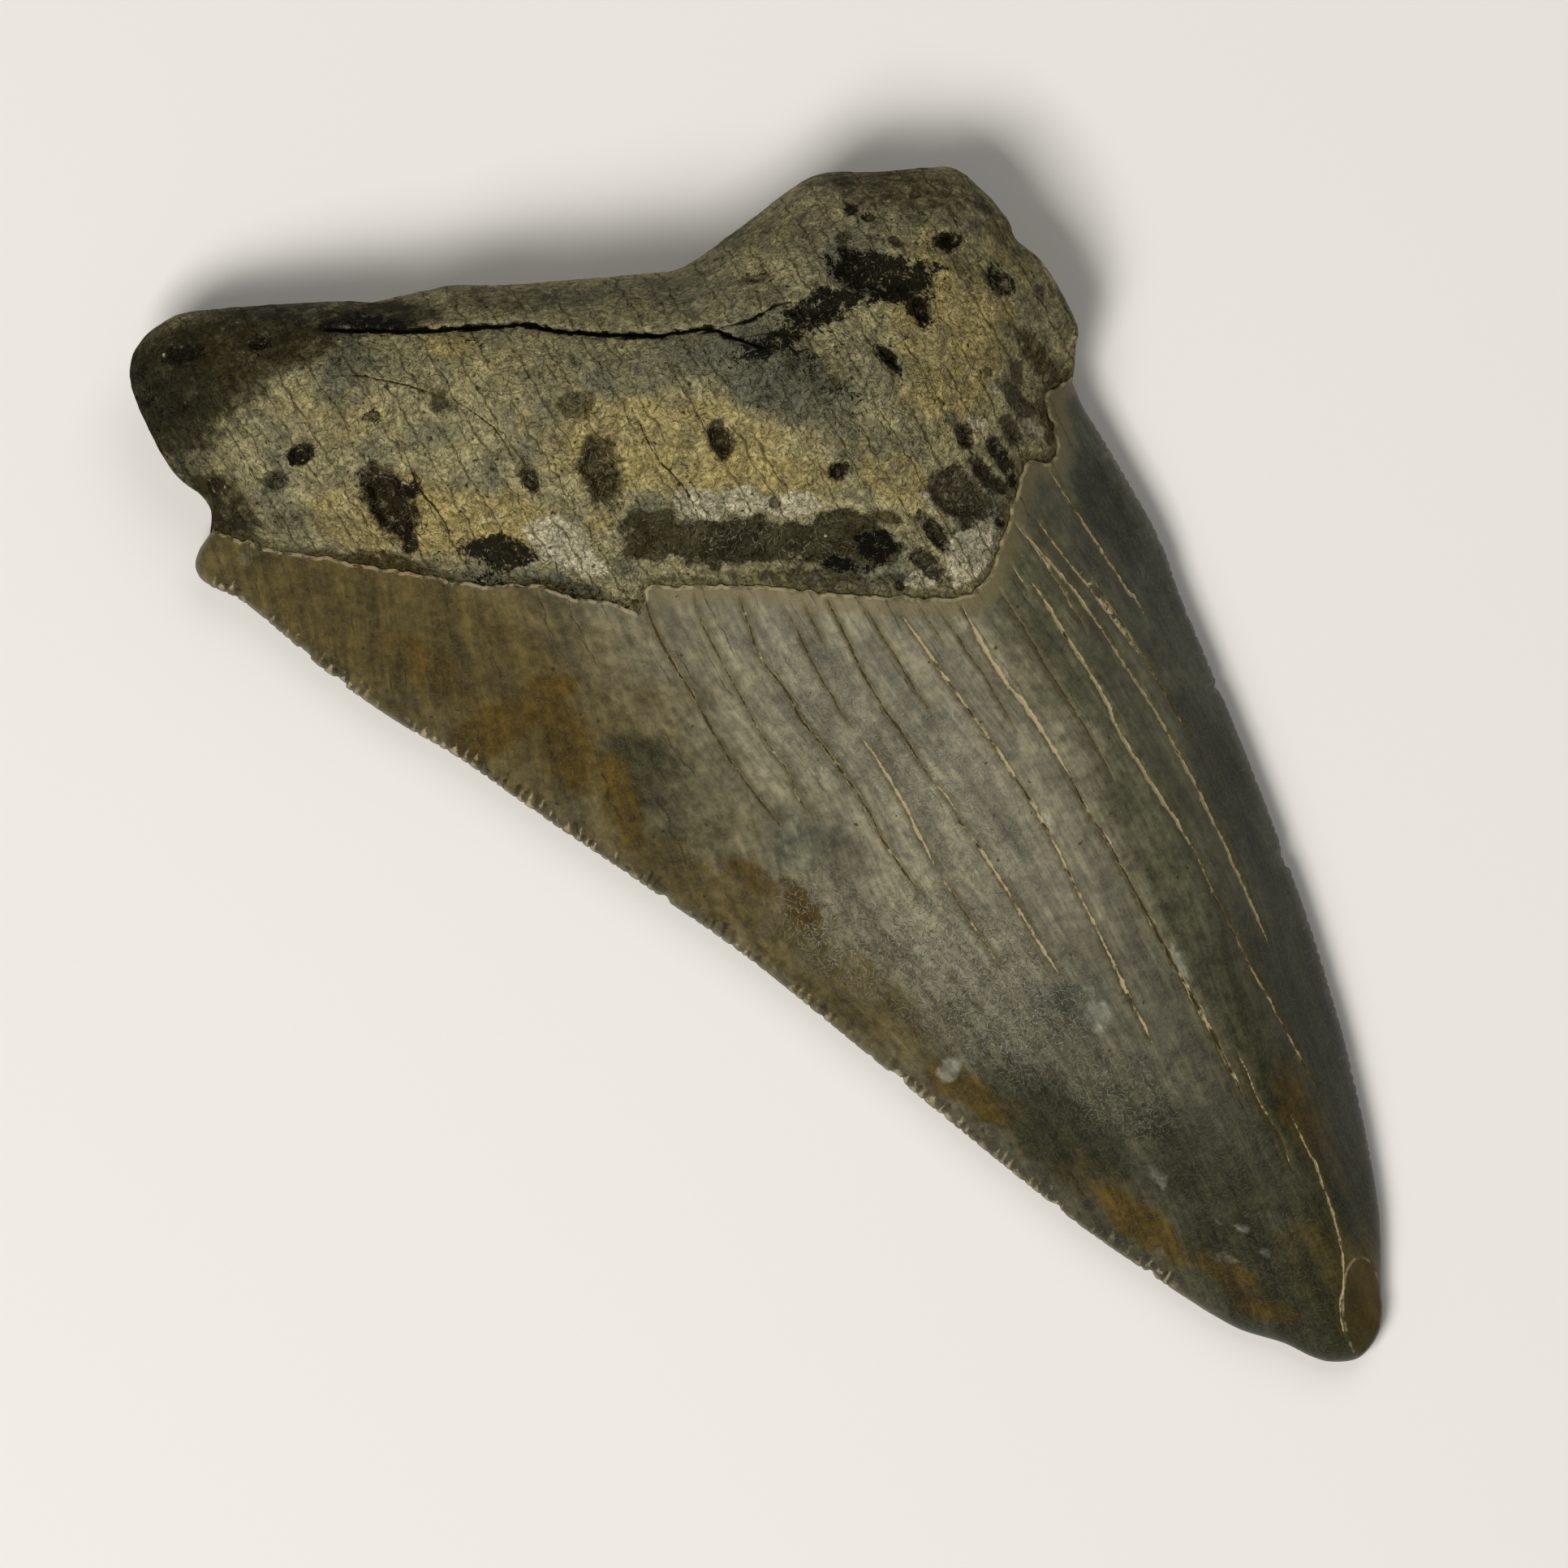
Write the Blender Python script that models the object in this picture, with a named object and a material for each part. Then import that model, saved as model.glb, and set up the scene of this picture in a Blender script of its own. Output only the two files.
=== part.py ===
"""Fossil megalodon tooth, lying on its flat outer (labial) face.

The tooth grew as one piece: a thick, porous root with two lobes and a blade of enamel with serrated
cutting edges. It is built here as one closed solid from two height surfaces, the domed inner (lingual)
face above and the flat face below, which meet along the tooth's outline.

Frame: +Y runs from the tip to the root, +X towards the short lobe, +Z up out of the domed face. The
origin is at the bottom centre of the tooth's box. All lists are in millimetres, as x, y or x, y, height.
"""
import math

import bmesh
import bpy
import numpy as np
from mathutils import Vector, noise
from mathutils.geometry import delaunay_2d_cdt

MM = 0.001

# Driving sizes. The lists below are drawn for a tooth of DRAWN_LENGTH, and the finished solid is scaled
# evenly from there to TOOTH_LENGTH.
TOOTH_LENGTH = 105.2
DRAWN_LENGTH = 105.2

SERRATION_PITCH = 0.8
SERRATION_DEPTH = 0.3
ENAMEL_STEP = 0.45
LABIAL_ENAMEL_STEP = 0.3
BLADE_EDGE = 0.5
CROWN_RIM_REACH = 0.7
ROOT_RIM_REACH = 6.5
CROWN_SECTION_POWER = 1.12

# Spacing of the surface points.
ROOT_STEP = 1.2
TIP_STEP = 0.8
ROOT_GRID = 1.35
CROWN_GRID = 1.9
LABIAL_GRID = 2.8
LEDGE_STEP = 0.9
CRACK_STEP = 1.6
PIT_CORNERS = 12
RIM_MARGIN = 0.45
MERGE_GAP = 0.06

# The outline, anticlockwise from above. The root runs from the right shoulder over the short lobe, the
# shallow notch and the long lobe to the left shoulder.
ROOT_OUTLINE = [
    (28.6, 16.7), (29.8, 18.4), (30.9, 20.2), (31.0, 24.7), (30.2, 27.3), (30.4, 28.8), (30.0, 31.2),
    (29.1, 33.6), (27.6, 34.7), (24.7, 36.0), (21.1, 38.0), (18.5, 38.3), (14.5, 37.8), (9.1, 37.4),
    (6.5, 38.4), (-2.0, 42.5), (-5.5, 44.5), (-10.7, 46.3), (-13.0, 47.7), (-21.5, 52.0), (-24.2, 52.6),
    (-26.8, 52.0), (-28.3, 50.0), (-28.9, 46.0), (-28.8, 43.0), (-28.0, 40.6), (-28.1, 39.4), (-28.9, 38.3),
]
LEFT_EDGE = [
    (-28.9, 38.3), (-30.3, 37.6), (-31.1, 36.6), (-30.8, 35.2), (-29.4, 33.1), (-28.0, 29.3), (-26.7, 25.4),
    (-24.4, 20.4), (-21.8, 15.7), (-19.0, 9.5), (-14.9, 0.9), (-11.5, -6.6), (-9.1, -12.9), (-2.0, -32.0),
    (1.3, -39.5), (3.7, -44.4),
]
TIP = [
    (3.7, -44.4), (5.1, -46.7), (7.2, -49.0), (8.4, -50.8), (9.5, -51.9), (11.3, -52.6), (13.2, -51.9),
    (14.3, -50.7), (15.0, -49.3), (16.8, -46.2),
]
RIGHT_EDGE = [
    (16.8, -46.2), (18.0, -43.7), (19.9, -38.6), (21.9, -32.1), (23.8, -24.2), (25.5, -14.8), (26.7, -6.8),
    (27.6, 0.0), (28.4, 4.4), (28.5, 12.1), (28.4, 14.8), (28.6, 16.7),
]

# Height of the outline itself: the thin blade lies low, and the round root is widest at mid height.
RIM_HEIGHTS = [
    (-31.0, 36.6, 3.0), (-28.0, 29.3, 2.2), (-21.8, 15.7, 1.8), (-11.5, -6.6, 1.5), (-2.0, -32.0, 1.3),
    (7.2, -49.0, 1.2), (11.3, -52.6, 1.4), (16.8, -46.2, 1.4), (21.9, -32.1, 1.5), (26.7, -6.8, 1.8),
    (28.4, 8.0, 2.4), (28.5, 14.8, 3.4), (29.8, 18.6, 6.0), (31.0, 24.0, 7.5), (28.0, 34.5, 7.5),
    (18.5, 38.3, 8.5), (9.1, 37.4, 9.0), (-2.0, 42.5, 9.0), (-13.0, 47.7, 8.0), (-24.2, 52.6, 6.5),
    (-28.9, 46.0, 6.2), (-28.1, 40.0, 4.8),
]

# The edge of the enamel on the domed face, from the left shoulder to the right one. The short steps near
# the middle are where a flake has left a pocket.
ENAMEL_EDGE = [
    (-33.0, 40.0), (-28.9, 38.4), (-27.2, 36.5), (-24.5, 34.0), (-21.4, 31.4), (-16.9, 27.5), (-14.0, 25.1),
    (-11.1, 23.5), (-9.1, 21.3), (-6.9, 19.4), (-5.8, 18.0), (-4.9, 18.6), (-4.3, 19.2), (-0.8, 17.3),
    (2.3, 15.4), (5.7, 12.9), (10.0, 10.0), (13.8, 7.7), (15.9, 7.7), (17.4, 8.6), (19.2, 10.2),
    (21.3, 12.1), (22.7, 13.4), (23.9, 12.8), (25.0, 12.9), (25.8, 14.4), (26.2, 16.1), (27.2, 17.0),
    (33.0, 16.4),
]
# On the flat face the enamel climbs higher, in a plain arch.
LABIAL_ENAMEL_EDGE = [
    (-33.0, 41.0), (-28.6, 38.6), (-22.0, 36.2), (-14.0, 32.6), (-5.0, 28.6), (3.0, 25.2), (11.0, 22.0),
    (18.0, 20.0), (24.0, 19.2), (33.0, 17.6),
]

# The crown's ridge, from the tip up to where the root covers it, as x, y, height.
RIDGE = [
    (11.3, -52.6, 1.9), (11.5, -51.0, 3.0), (11.8, -48.5, 4.4), (12.5, -44.0, 6.3), (13.3, -37.0, 8.8),
    (13.8, -27.0, 11.5), (14.0, -16.0, 13.7), (14.0, -4.0, 15.4), (13.6, 6.0, 16.5), (13.0, 17.0, 17.6),
    (12.0, 38.0, 19.0),
]

# The root's domed face: a broad bulge along its middle that falls off towards the notch and the enamel.
ROOT_SPOTS = [
    (-25, 47, 11.0), (-21, 48, 13.5), (-24, 41, 12.0), (-15, 42, 16.8), (-18, 37, 15.0), (-6, 38, 19.8),
    (-10, 32, 18.0), (1, 33, 22.0), (-2, 27, 20.0), (9, 30, 22.3), (6, 23, 20.6), (13, 24, 21.8),
    (17, 19, 20.2), (19, 28, 19.0), (18, 33, 18.5), (23, 34, 16.0), (27, 31, 15.0), (28, 26, 14.6),
    (23, 21, 17.5), (28, 21, 12.8), (-10, 45, 15.5), (-2, 40, 17.8), (7, 36, 18.8), (-12, 29, 15.4),
    (2, 19, 17.6), (11, 12, 17.2), (18, 13, 16.8), (24, 16, 13.2), (-22, 34, 10.8), (16, 10, 16.6),
]
# The flat face: spots at or below zero become the level patches that the tooth rests on.
LABIAL_SPOTS = [
    (-25, 49, 3.0), (-18, 42, -1.4), (-10, 38, 0.4), (-3, 33, 1.0), (8, 28, 1.0), (15, 33, 0.8),
    (21, 28, -1.4), (28, 20, 1.6), (-17, 32, 0.9), (-3, 21, 1.1), (13, 16, 0.9), (-23, 30, 1.6),
    (24, 13, 1.8), (3, 10, 0.3), (8, 1, -0.5), (11, -11, -0.7), (11, -24, -0.7), (11, -36, -0.4),
    (11, -45, 0.3), (-13, 16, 1.1), (-7, 3, 0.9), (24, -6, 1.4), (21, -23, 1.0),
]
FLOOR_SOFTNESS = 0.4

# Pits in the root: x, y, length, width, angle of the length from +X in degrees, depth. The first group is
# scattered over the root, and the second is the row of cells up its short branch.
ROOT_PITS = [
    (-16.8, 33.4, 5.6, 3.2, 88, 2.2), (-20.4, 39.5, 2.0, 1.6, 160, 1.2), (-22.9, 39.0, 1.8, 1.5, 150, 0.9),
    (-7.6, 29.8, 2.0, 1.1, 90, 0.9), (-3.0, 27.9, 5.2, 2.6, 74, 1.1), (5.1, 25.4, 2.7, 1.6, 80, 1.4),
    (11.0, 19.5, 1.7, 1.4, 170, 1.0), (23.9, 23.4, 2.0, 1.2, 74, 0.9), (27.3, 25.4, 2.3, 1.5, 90, 0.9),
    (25.8, 29.4, 1.9, 1.1, 150, 0.9), (21.7, 26.3, 2.2, 1.5, 90, 1.3), (18.5, 24.6, 2.0, 1.5, 100, 1.1),
    (20.1, 29.9, 6.8, 3.6, 140, 1.2), (15.6, 30.0, 5.1, 2.3, 170, 0.9), (-24.1, 49.9, 2.8, 1.5, 150, 0.6),
    (-12.5, 27.1, 6.4, 1.9, 146, 0.6),
]
BRANCH_CELLS = [
    (18.0, 13.6, 4.2, 3.3, 100, 1.9), (20.6, 14.7, 3.0, 1.8, 100, 1.7), (22.3, 15.8, 3.0, 1.4, 95, 1.5),
    (24.1, 17.4, 3.4, 1.2, 90, 1.3), (20.1, 18.1, 3.0, 1.6, 100, 1.3), (14.9, 12.9, 2.6, 1.2, 88, 1.2),
    (12.0, 11.3, 1.9, 1.2, 110, 1.0),
]

# The band between root and enamel (bourlette) is a shallow trough, and a long crack crosses the root.
BAND_LINE = [(-3.7, 23.6), (-0.3, 21.5), (3.1, 18.6), (7.4, 15.7), (10.9, 12.8), (12.7, 10.8)]
BAND_HALF_WIDTH = 2.0
BAND_FLOOR = 0.7
BAND_DEPTH = 0.8
ROOT_CRACK = [
    (-15.4, 46.7), (-12.1, 44.5), (-7.0, 41.5), (-2.9, 39.5), (-0.7, 37.6), (2.1, 35.7), (4.5, 34.1),
    (7.1, 33.0), (8.6, 32.2), (9.5, 30.9), (11.7, 28.5),
]
ROOT_CRACK_HALF_WIDTH = 0.38
ROOT_CRACK_DEPTH = 1.3

# The widest cracks of the enamel, down the crown.
CROWN_CRACKS = [
    [(14.1, 7.2), (14.4, 3.6), (15.0, -2.6), (14.7, -8.9), (14.3, -15.1), (14.1, -18.7), (14.0, -22.2),
     (13.8, -28.3), (13.5, -34.0)],
    [(20.0, 9.9), (20.3, 6.4), (20.4, 1.6), (20.6, -3.3), (20.7, -9.0), (20.4, -14.4), (20.0, -20.4),
     (19.5, -26.0)],
    [(9.8, 8.7), (10.3, 3.5), (10.9, -2.6), (10.8, -8.8), (10.6, -14.3), (10.4, -19.5), (10.2, -25.4)],
    [(-4.7, 18.4), (-4.9, 13.0), (-4.9, 7.5), (-4.3, 1.3)],
]
CROWN_CRACK_HALF_WIDTH = 0.2
CROWN_CRACK_DEPTH = 0.3
CRACK_TAPER = 2.5

ROOT_COLOUR = (0.125, 0.115, 0.065, 1.0)
ROOT_ROUGHNESS = 0.75


def smooth_run(points, step):
    """A curve through the points, in equal steps of about the given length."""
    points = np.array(points, float)
    ends = np.vstack([2 * points[0] - points[1], points, 2 * points[-1] - points[-2]])
    t = np.linspace(0.0, 1.0, 20, endpoint=False)[:, None]
    pieces = []
    for a, b, c, d in zip(ends, ends[1:], ends[2:], ends[3:]):
        pieces.append(0.5 * (2 * b + (c - a) * t + (2 * a - 5 * b + 4 * c - d) * t ** 2
                             + (3 * b - 3 * c + d - a) * t ** 3))
    line = np.vstack(pieces + [points[-1:]])
    run = np.append(0.0, np.cumsum(np.linalg.norm(np.diff(line, axis=0), axis=1)))
    stops = np.linspace(0.0, run[-1], max(1, round(run[-1] / step)) + 1)
    return np.column_stack([np.interp(stops, run, line[:, axis]) for axis in range(2)])


def inward(line):
    """Unit normals of an anticlockwise line, pointing into the tooth."""
    along = np.gradient(line, axis=0)
    along /= np.linalg.norm(along, axis=1)[:, None]
    return np.column_stack([-along[:, 1], along[:, 0]])


def serrated(line):
    """Notches every second point inwards. The notches fade towards the ends of the line."""
    notch = np.arange(len(line)) % 2
    fade = np.clip(np.minimum(np.arange(len(line)), np.arange(len(line))[::-1]) / 10.0, 0.0, 1.0)
    worn = np.array([0.8 + 0.35 * noise.noise(Vector((*point, 3.0)) * 0.45) for point in line])
    return line + inward(line) * (notch * fade * worn * SERRATION_DEPTH)[:, None]


def nearest(points, line):
    """Distance from each point to a line, and the place on the line that is nearest."""
    best = np.full(len(points), np.inf)
    place = np.zeros_like(points)
    for start, end in zip(line, line[1:]):
        side = end - start
        t = np.clip((points - start) @ side / max(side @ side, 1e-12), 0.0, 1.0)
        foot = start + t[:, None] * side
        gap = np.linalg.norm(points - foot, axis=1)
        closer = gap < best
        best[closer] = gap[closer]
        place[closer] = foot[closer]
    return best, place


def inside(points, loop):
    """Which points lie inside a closed loop."""
    x, y = points[:, 0], points[:, 1]
    result = np.zeros(len(points), bool)
    for (x0, y0), (x1, y1) in zip(loop, np.roll(loop, -1, axis=0)):
        if y0 != y1:
            crosses = (y0 > y) != (y1 > y)
            result ^= crosses & (x < x0 + (y - y0) * (x1 - x0) / (y1 - y0))
    return result


def smoothstep(low, high, value):
    t = np.clip((value - low) / (high - low), 0.0, 1.0)
    return t * t * (3.0 - 2.0 * t)


def taper(points, line):
    """Falls to zero towards both ends of a line."""
    first = np.linalg.norm(points - line[0], axis=1)
    last = np.linalg.norm(points - line[-1], axis=1)
    return np.clip(np.minimum(first, last) / CRACK_TAPER, 0.0, 1.0)


class SpotSurface:
    """The smooth surface of a thin plate bent through spot heights."""

    def __init__(self, spots):
        spots = np.array(spots, float)
        self.places = spots[:, :2]
        count = len(spots)
        system = np.zeros((count + 3, count + 3))
        system[:count, :count] = self.bend(self.places)
        system[:count, count:] = np.column_stack([np.ones(count), self.places])
        system[count:, :count] = system[:count, count:].T
        self.weights = np.linalg.solve(system, np.append(spots[:, 2], np.zeros(3)))

    def bend(self, points):
        gap = np.linalg.norm(points[:, None] - self.places[None], axis=2)
        return gap ** 2 * np.log(np.maximum(gap, 1e-9))

    def __call__(self, points):
        return np.column_stack([self.bend(points), np.ones(len(points)), points]) @ self.weights


class Tooth:
    """The tooth's outline and its two faces as functions of x and y."""

    def __init__(self):
        half_pitch = SERRATION_PITCH / 2
        root = smooth_run(ROOT_OUTLINE, ROOT_STEP)
        left = smooth_run(LEFT_EDGE, half_pitch)
        tip = smooth_run(TIP, TIP_STEP)
        right = smooth_run(RIGHT_EDGE, half_pitch)
        self.outline = np.vstack([root[:-1], serrated(left)[:-1], tip[:-1], serrated(right)[:-1]])
        self.root_run = root
        self.crown_run = np.vstack([left[::2], tip[1:-1], right[::2]])
        self.plain_outline = np.vstack([root[:-1], left[:-1:2], tip[:-1], right[::2]])
        self.closed_outline = np.vstack([self.plain_outline, self.plain_outline[:1]])
        lowest = tip[:, 1].argmin()
        self.left_side = np.vstack([left[:-1], tip[:lowest + 1]])[::-1]
        self.right_side = np.vstack([tip[lowest:-1], right])
        self.rim = SpotSurface(RIM_HEIGHTS)
        self.root = SpotSurface(ROOT_SPOTS)
        self.labial_face = SpotSurface(LABIAL_SPOTS)
        self.enamel_edge = smooth_run(ENAMEL_EDGE, LEDGE_STEP)
        self.labial_enamel_edge = smooth_run(LABIAL_ENAMEL_EDGE, 2 * LEDGE_STEP)
        self.band = smooth_run(BAND_LINE, CRACK_STEP)
        self.cracks = [(smooth_run(ROOT_CRACK, CRACK_STEP), ROOT_CRACK_HALF_WIDTH, ROOT_CRACK_DEPTH)]
        for line in CROWN_CRACKS:
            crack = smooth_run(line, 2 * CRACK_STEP)
            self.cracks.append((crack, CROWN_CRACK_HALF_WIDTH, CROWN_CRACK_DEPTH))

    def beyond_enamel(self, points, edge):
        """Signed distance from the enamel's edge, positive on the root's side."""
        gap, _ = nearest(points, edge)
        below = np.array([(edge[-1][0], -2 * DRAWN_LENGTH), (edge[0][0], -2 * DRAWN_LENGTH)])
        return np.where(inside(points, np.vstack([edge, below])), -gap, gap)

    def crown_height(self, points):
        """The blade's section: thin at both cutting edges and domed at the ridge."""
        x, y = points[:, 0], points[:, 1]
        ridge_x, ridge_y, ridge_z = np.array(RIDGE).T
        ridge = np.interp(y, ridge_y, ridge_x)
        top = np.interp(y, ridge_y, ridge_z)
        left = np.interp(y, self.left_side[:, 1], self.left_side[:, 0])
        right = np.interp(y, self.right_side[:, 1], self.right_side[:, 0])
        on_left = (x - left) / np.maximum(ridge - left, 1.0)
        on_right = (right - x) / np.maximum(right - ridge, 1.0)
        t = np.clip(np.where(x < ridge, on_left, on_right), 0.0, 1.0)
        edge = self.rim(points) + BLADE_EDGE
        edge = np.minimum(edge, top)
        return edge + (top - edge) * np.sin(t * math.pi / 2) ** CROWN_SECTION_POWER

    def hollows(self, points):
        """Depth of the pits, the band and the cracks below the plain surface."""
        depth = np.zeros(len(points))
        for x, y, length, width, angle, deep in ROOT_PITS + BRANCH_CELLS:
            turn = math.radians(angle)
            along = (points[:, 0] - x) * math.cos(turn) + (points[:, 1] - y) * math.sin(turn)
            across = (points[:, 1] - y) * math.cos(turn) - (points[:, 0] - x) * math.sin(turn)
            out = np.hypot(along / (length / 2), across / (width / 2))
            depth = np.maximum(depth, deep * (1.0 - smoothstep(0.35, 1.0, out)))
        gap, _ = nearest(points, self.band)
        depth = np.maximum(depth, BAND_DEPTH * (1.0 - smoothstep(BAND_FLOOR, 1.0, gap / BAND_HALF_WIDTH)))
        for line, half_width, deep in self.cracks:
            gap, foot = nearest(points, line)
            side = 1.0 - np.clip(gap / half_width, 0.0, 1.0)
            depth = np.maximum(depth, deep * taper(foot, line) * side)
        return depth

    def lumps(self, points, size, height):
        """Gentle unevenness of the grown surface."""
        return height * np.array([noise.noise(Vector((*point, 7.0)) / size) for point in points])

    def lingual_height(self, points):
        """The domed face."""
        beyond = self.beyond_enamel(points, self.enamel_edge)
        root_share = smoothstep(-0.5, 3.0, beyond)
        height = self.crown_height(points) * (1.0 - root_share) + self.root(points) * root_share
        height += ENAMEL_STEP * (1.0 - smoothstep(-0.12, 0.12, beyond))
        height += root_share * self.lumps(points, 3.0, 0.45)
        height -= self.hollows(points)
        edge_gap, foot = nearest(points, self.closed_outline)
        rim = self.rim(foot)
        reach = CROWN_RIM_REACH + (ROOT_RIM_REACH - CROWN_RIM_REACH) * root_share
        rise = np.clip(edge_gap / reach, 0.0, 1.0)
        return rim + (height - rim) * np.sqrt(1.0 - (1.0 - rise) ** 2)

    def labial_height(self, points):
        """The flat face, exactly level where its spots lie below zero."""
        beyond = self.beyond_enamel(points, self.labial_enamel_edge)
        root_share = smoothstep(-0.5, 3.0, beyond)
        face = self.labial_face(points) + root_share * self.lumps(points, 5.0, 0.3)
        face += LABIAL_ENAMEL_STEP * smoothstep(-0.12, 0.12, beyond)
        level = np.where(face > 0.0, face ** 2 / (np.abs(face) + FLOOR_SOFTNESS), 0.0)
        edge_gap, foot = nearest(points, self.closed_outline)
        rim = self.rim(foot)
        reach = ROOT_RIM_REACH * (0.7 + 0.3 * root_share)
        rise = np.clip(edge_gap / reach, 0.0, 1.0)
        level = np.minimum(level, rim - 0.3)
        return rim + (level - rim) * np.sqrt(1.0 - (1.0 - rise) ** 2)


def ring(line, depth, keep_from):
    """Points at one depth inside the outline, without those that crowd at its inner corners."""
    points = line + inward(line) * depth
    gap, _ = nearest(points, keep_from)
    return points[gap > 0.9 * depth]


def grid(step, low, high):
    """Points of a triangular grid over a rectangle."""
    rows = []
    for index, y in enumerate(np.arange(low[1], high[1], step * math.sqrt(3) / 2)):
        x = np.arange(low[0] + (index % 2) * step / 2, high[0], step)
        rows.append(np.column_stack([x, np.full_like(x, y)]))
    return np.vstack(rows)


def clear_of_lines(points, lines, gap):
    """The points that keep a gap from every line."""
    for line in lines:
        distance, _ = nearest(points, line)
        points = points[distance > gap]
    return points


def pit_loops():
    """Two closed loops for each pit, at its floor and at its lip."""
    loops = []
    for x, y, length, width, angle, _ in ROOT_PITS + BRANCH_CELLS:
        turn = math.radians(angle)
        for share in (0.4, 1.0):
            corners = max(5, round(PIT_CORNERS * math.sqrt(share)))
            around = np.linspace(0.0, 2 * math.pi, corners + 1)
            along = share * length / 2 * np.cos(around)
            across = share * width / 2 * np.sin(around)
            loops.append(np.column_stack([x + along * math.cos(turn) - across * math.sin(turn),
                                          y + along * math.sin(turn) + across * math.cos(turn)]))
    return loops


def stretches(line, tooth):
    """The stretches of a line that lie well inside the outline."""
    gap, _ = nearest(line, tooth.closed_outline)
    kept = inside(line, tooth.plain_outline) & (gap > RIM_MARGIN)
    found = []
    run = []
    for point, keep in zip(line, kept):
        if keep:
            run.append(point)
        if not keep or point is line[-1]:
            if len(run) > 1:
                found.append(np.array(run))
            run = []
    if len(run) > 1:
        found.append(np.array(run))
    return found


def lingual_lines(tooth):
    """Every line that the domed face's triangles have to follow."""
    lines = pit_loops()
    for offset in (-0.14, 0.14):
        lines.append(tooth.enamel_edge + inward(tooth.enamel_edge) * offset)
    for share in (-1.0, -BAND_FLOOR, BAND_FLOOR, 1.0):
        lines.append(tooth.band + inward(tooth.band) * share * BAND_HALF_WIDTH)
    for line, half_width, _ in tooth.cracks:
        width = half_width * taper(line, line)[:, None]
        for side in (-1.0, 0.0, 1.0):
            lines.append(line + inward(line) * width * side)
    return [stretch for line in lines for stretch in stretches(line, tooth)]


def lingual_points(tooth, lines):
    """Free points of the domed face, closer together on the root than on the crown."""
    rings = [ring(tooth.root_run, depth, tooth.closed_outline) for depth in (0.3, 1.1, 2.4)]
    rings.append(ring(tooth.crown_run, 0.75, tooth.closed_outline))
    fixed = clear_of_lines(np.vstack(rings), lines, 0.3)
    low, high = tooth.plain_outline.min(axis=0), tooth.plain_outline.max(axis=0)
    points = [fixed]
    for step, side, edge_gap in ((ROOT_GRID, 1.0, 3.2), (CROWN_GRID, -1.0, 1.8)):
        lattice = grid(step, low, high)
        lattice = lattice[inside(lattice, tooth.plain_outline)]
        lattice = lattice[side * tooth.beyond_enamel(lattice, tooth.enamel_edge) > 0.4]
        lattice = clear_of_lines(lattice, [tooth.closed_outline], edge_gap)
        points.append(clear_of_lines(lattice, lines, 0.35 * step))
    return np.vstack(points)


def labial_lines(tooth):
    """The ledge of the enamel on the flat face."""
    edge = tooth.labial_enamel_edge
    ledge = [edge + inward(edge) * offset for offset in (-0.14, 0.14)]
    return [stretch for line in ledge for stretch in stretches(line, tooth)]


def labial_points(tooth, lines):
    """Free points of the flat face."""
    rings = [ring(tooth.root_run, depth, tooth.closed_outline) for depth in (0.3, 1.1, 2.6)]
    rings.append(ring(tooth.crown_run, 1.5, tooth.closed_outline))
    low, high = tooth.plain_outline.min(axis=0), tooth.plain_outline.max(axis=0)
    lattice = grid(LABIAL_GRID, low, high)
    lattice = lattice[inside(lattice, tooth.plain_outline)]
    lattice = clear_of_lines(lattice, [tooth.closed_outline], 3.4)
    return clear_of_lines(np.vstack(rings + [lattice]), lines, 0.6)


def face_mesh(outline, points, lines):
    """Triangles over the outline that follow the lines.

    Gives the corners' places, each corner's number on the outline (or None), and the triangles.
    """
    count = len(outline)
    edges = [(index, (index + 1) % count) for index in range(count)]
    places = [*outline, *points]
    for line in lines:
        first = len(places)
        places.extend(line)
        edges.extend((index, index + 1) for index in range(first, first + len(line) - 1))
    found, _, triangles, sources, _, _ = delaunay_2d_cdt(
        [Vector(place) for place in np.array(places).tolist()], edges, [], 1, 1e-4)
    numbers = [min((index for index in source if index < count), default=None) for source in sources]
    return np.array([tuple(place) for place in found]), numbers, triangles


def parted_face_mesh(outline, points, lines):
    """The same, where no triangle has all its corners on the outline, so that two faces never share one."""
    while True:
        places, numbers, triangles = face_mesh(outline, points, lines)
        flat = [face for face in triangles if all(numbers[corner] is not None for corner in face)]
        if not flat:
            return places, numbers, triangles
        middles = [places[list(face)].mean(axis=0) for face in flat]
        points = np.vstack([points, middles])


def add_face(mesh, rim, face, height, upward):
    """Add one face's triangles to the mesh, on the shared rim corners."""
    places, numbers, triangles = face
    corners = []
    for place, number, z in zip(places, numbers, height(places)):
        corners.append(mesh.verts.new((*place, z)) if number is None else rim[number])
    for triangle in triangles:
        a, b, c = (corners[index] for index in triangle)
        if ((b.co - a.co).xy.cross((c.co - a.co).xy) > 0.0) != upward:
            b, c = c, b
        mesh.faces.new((a, b, c))


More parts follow.
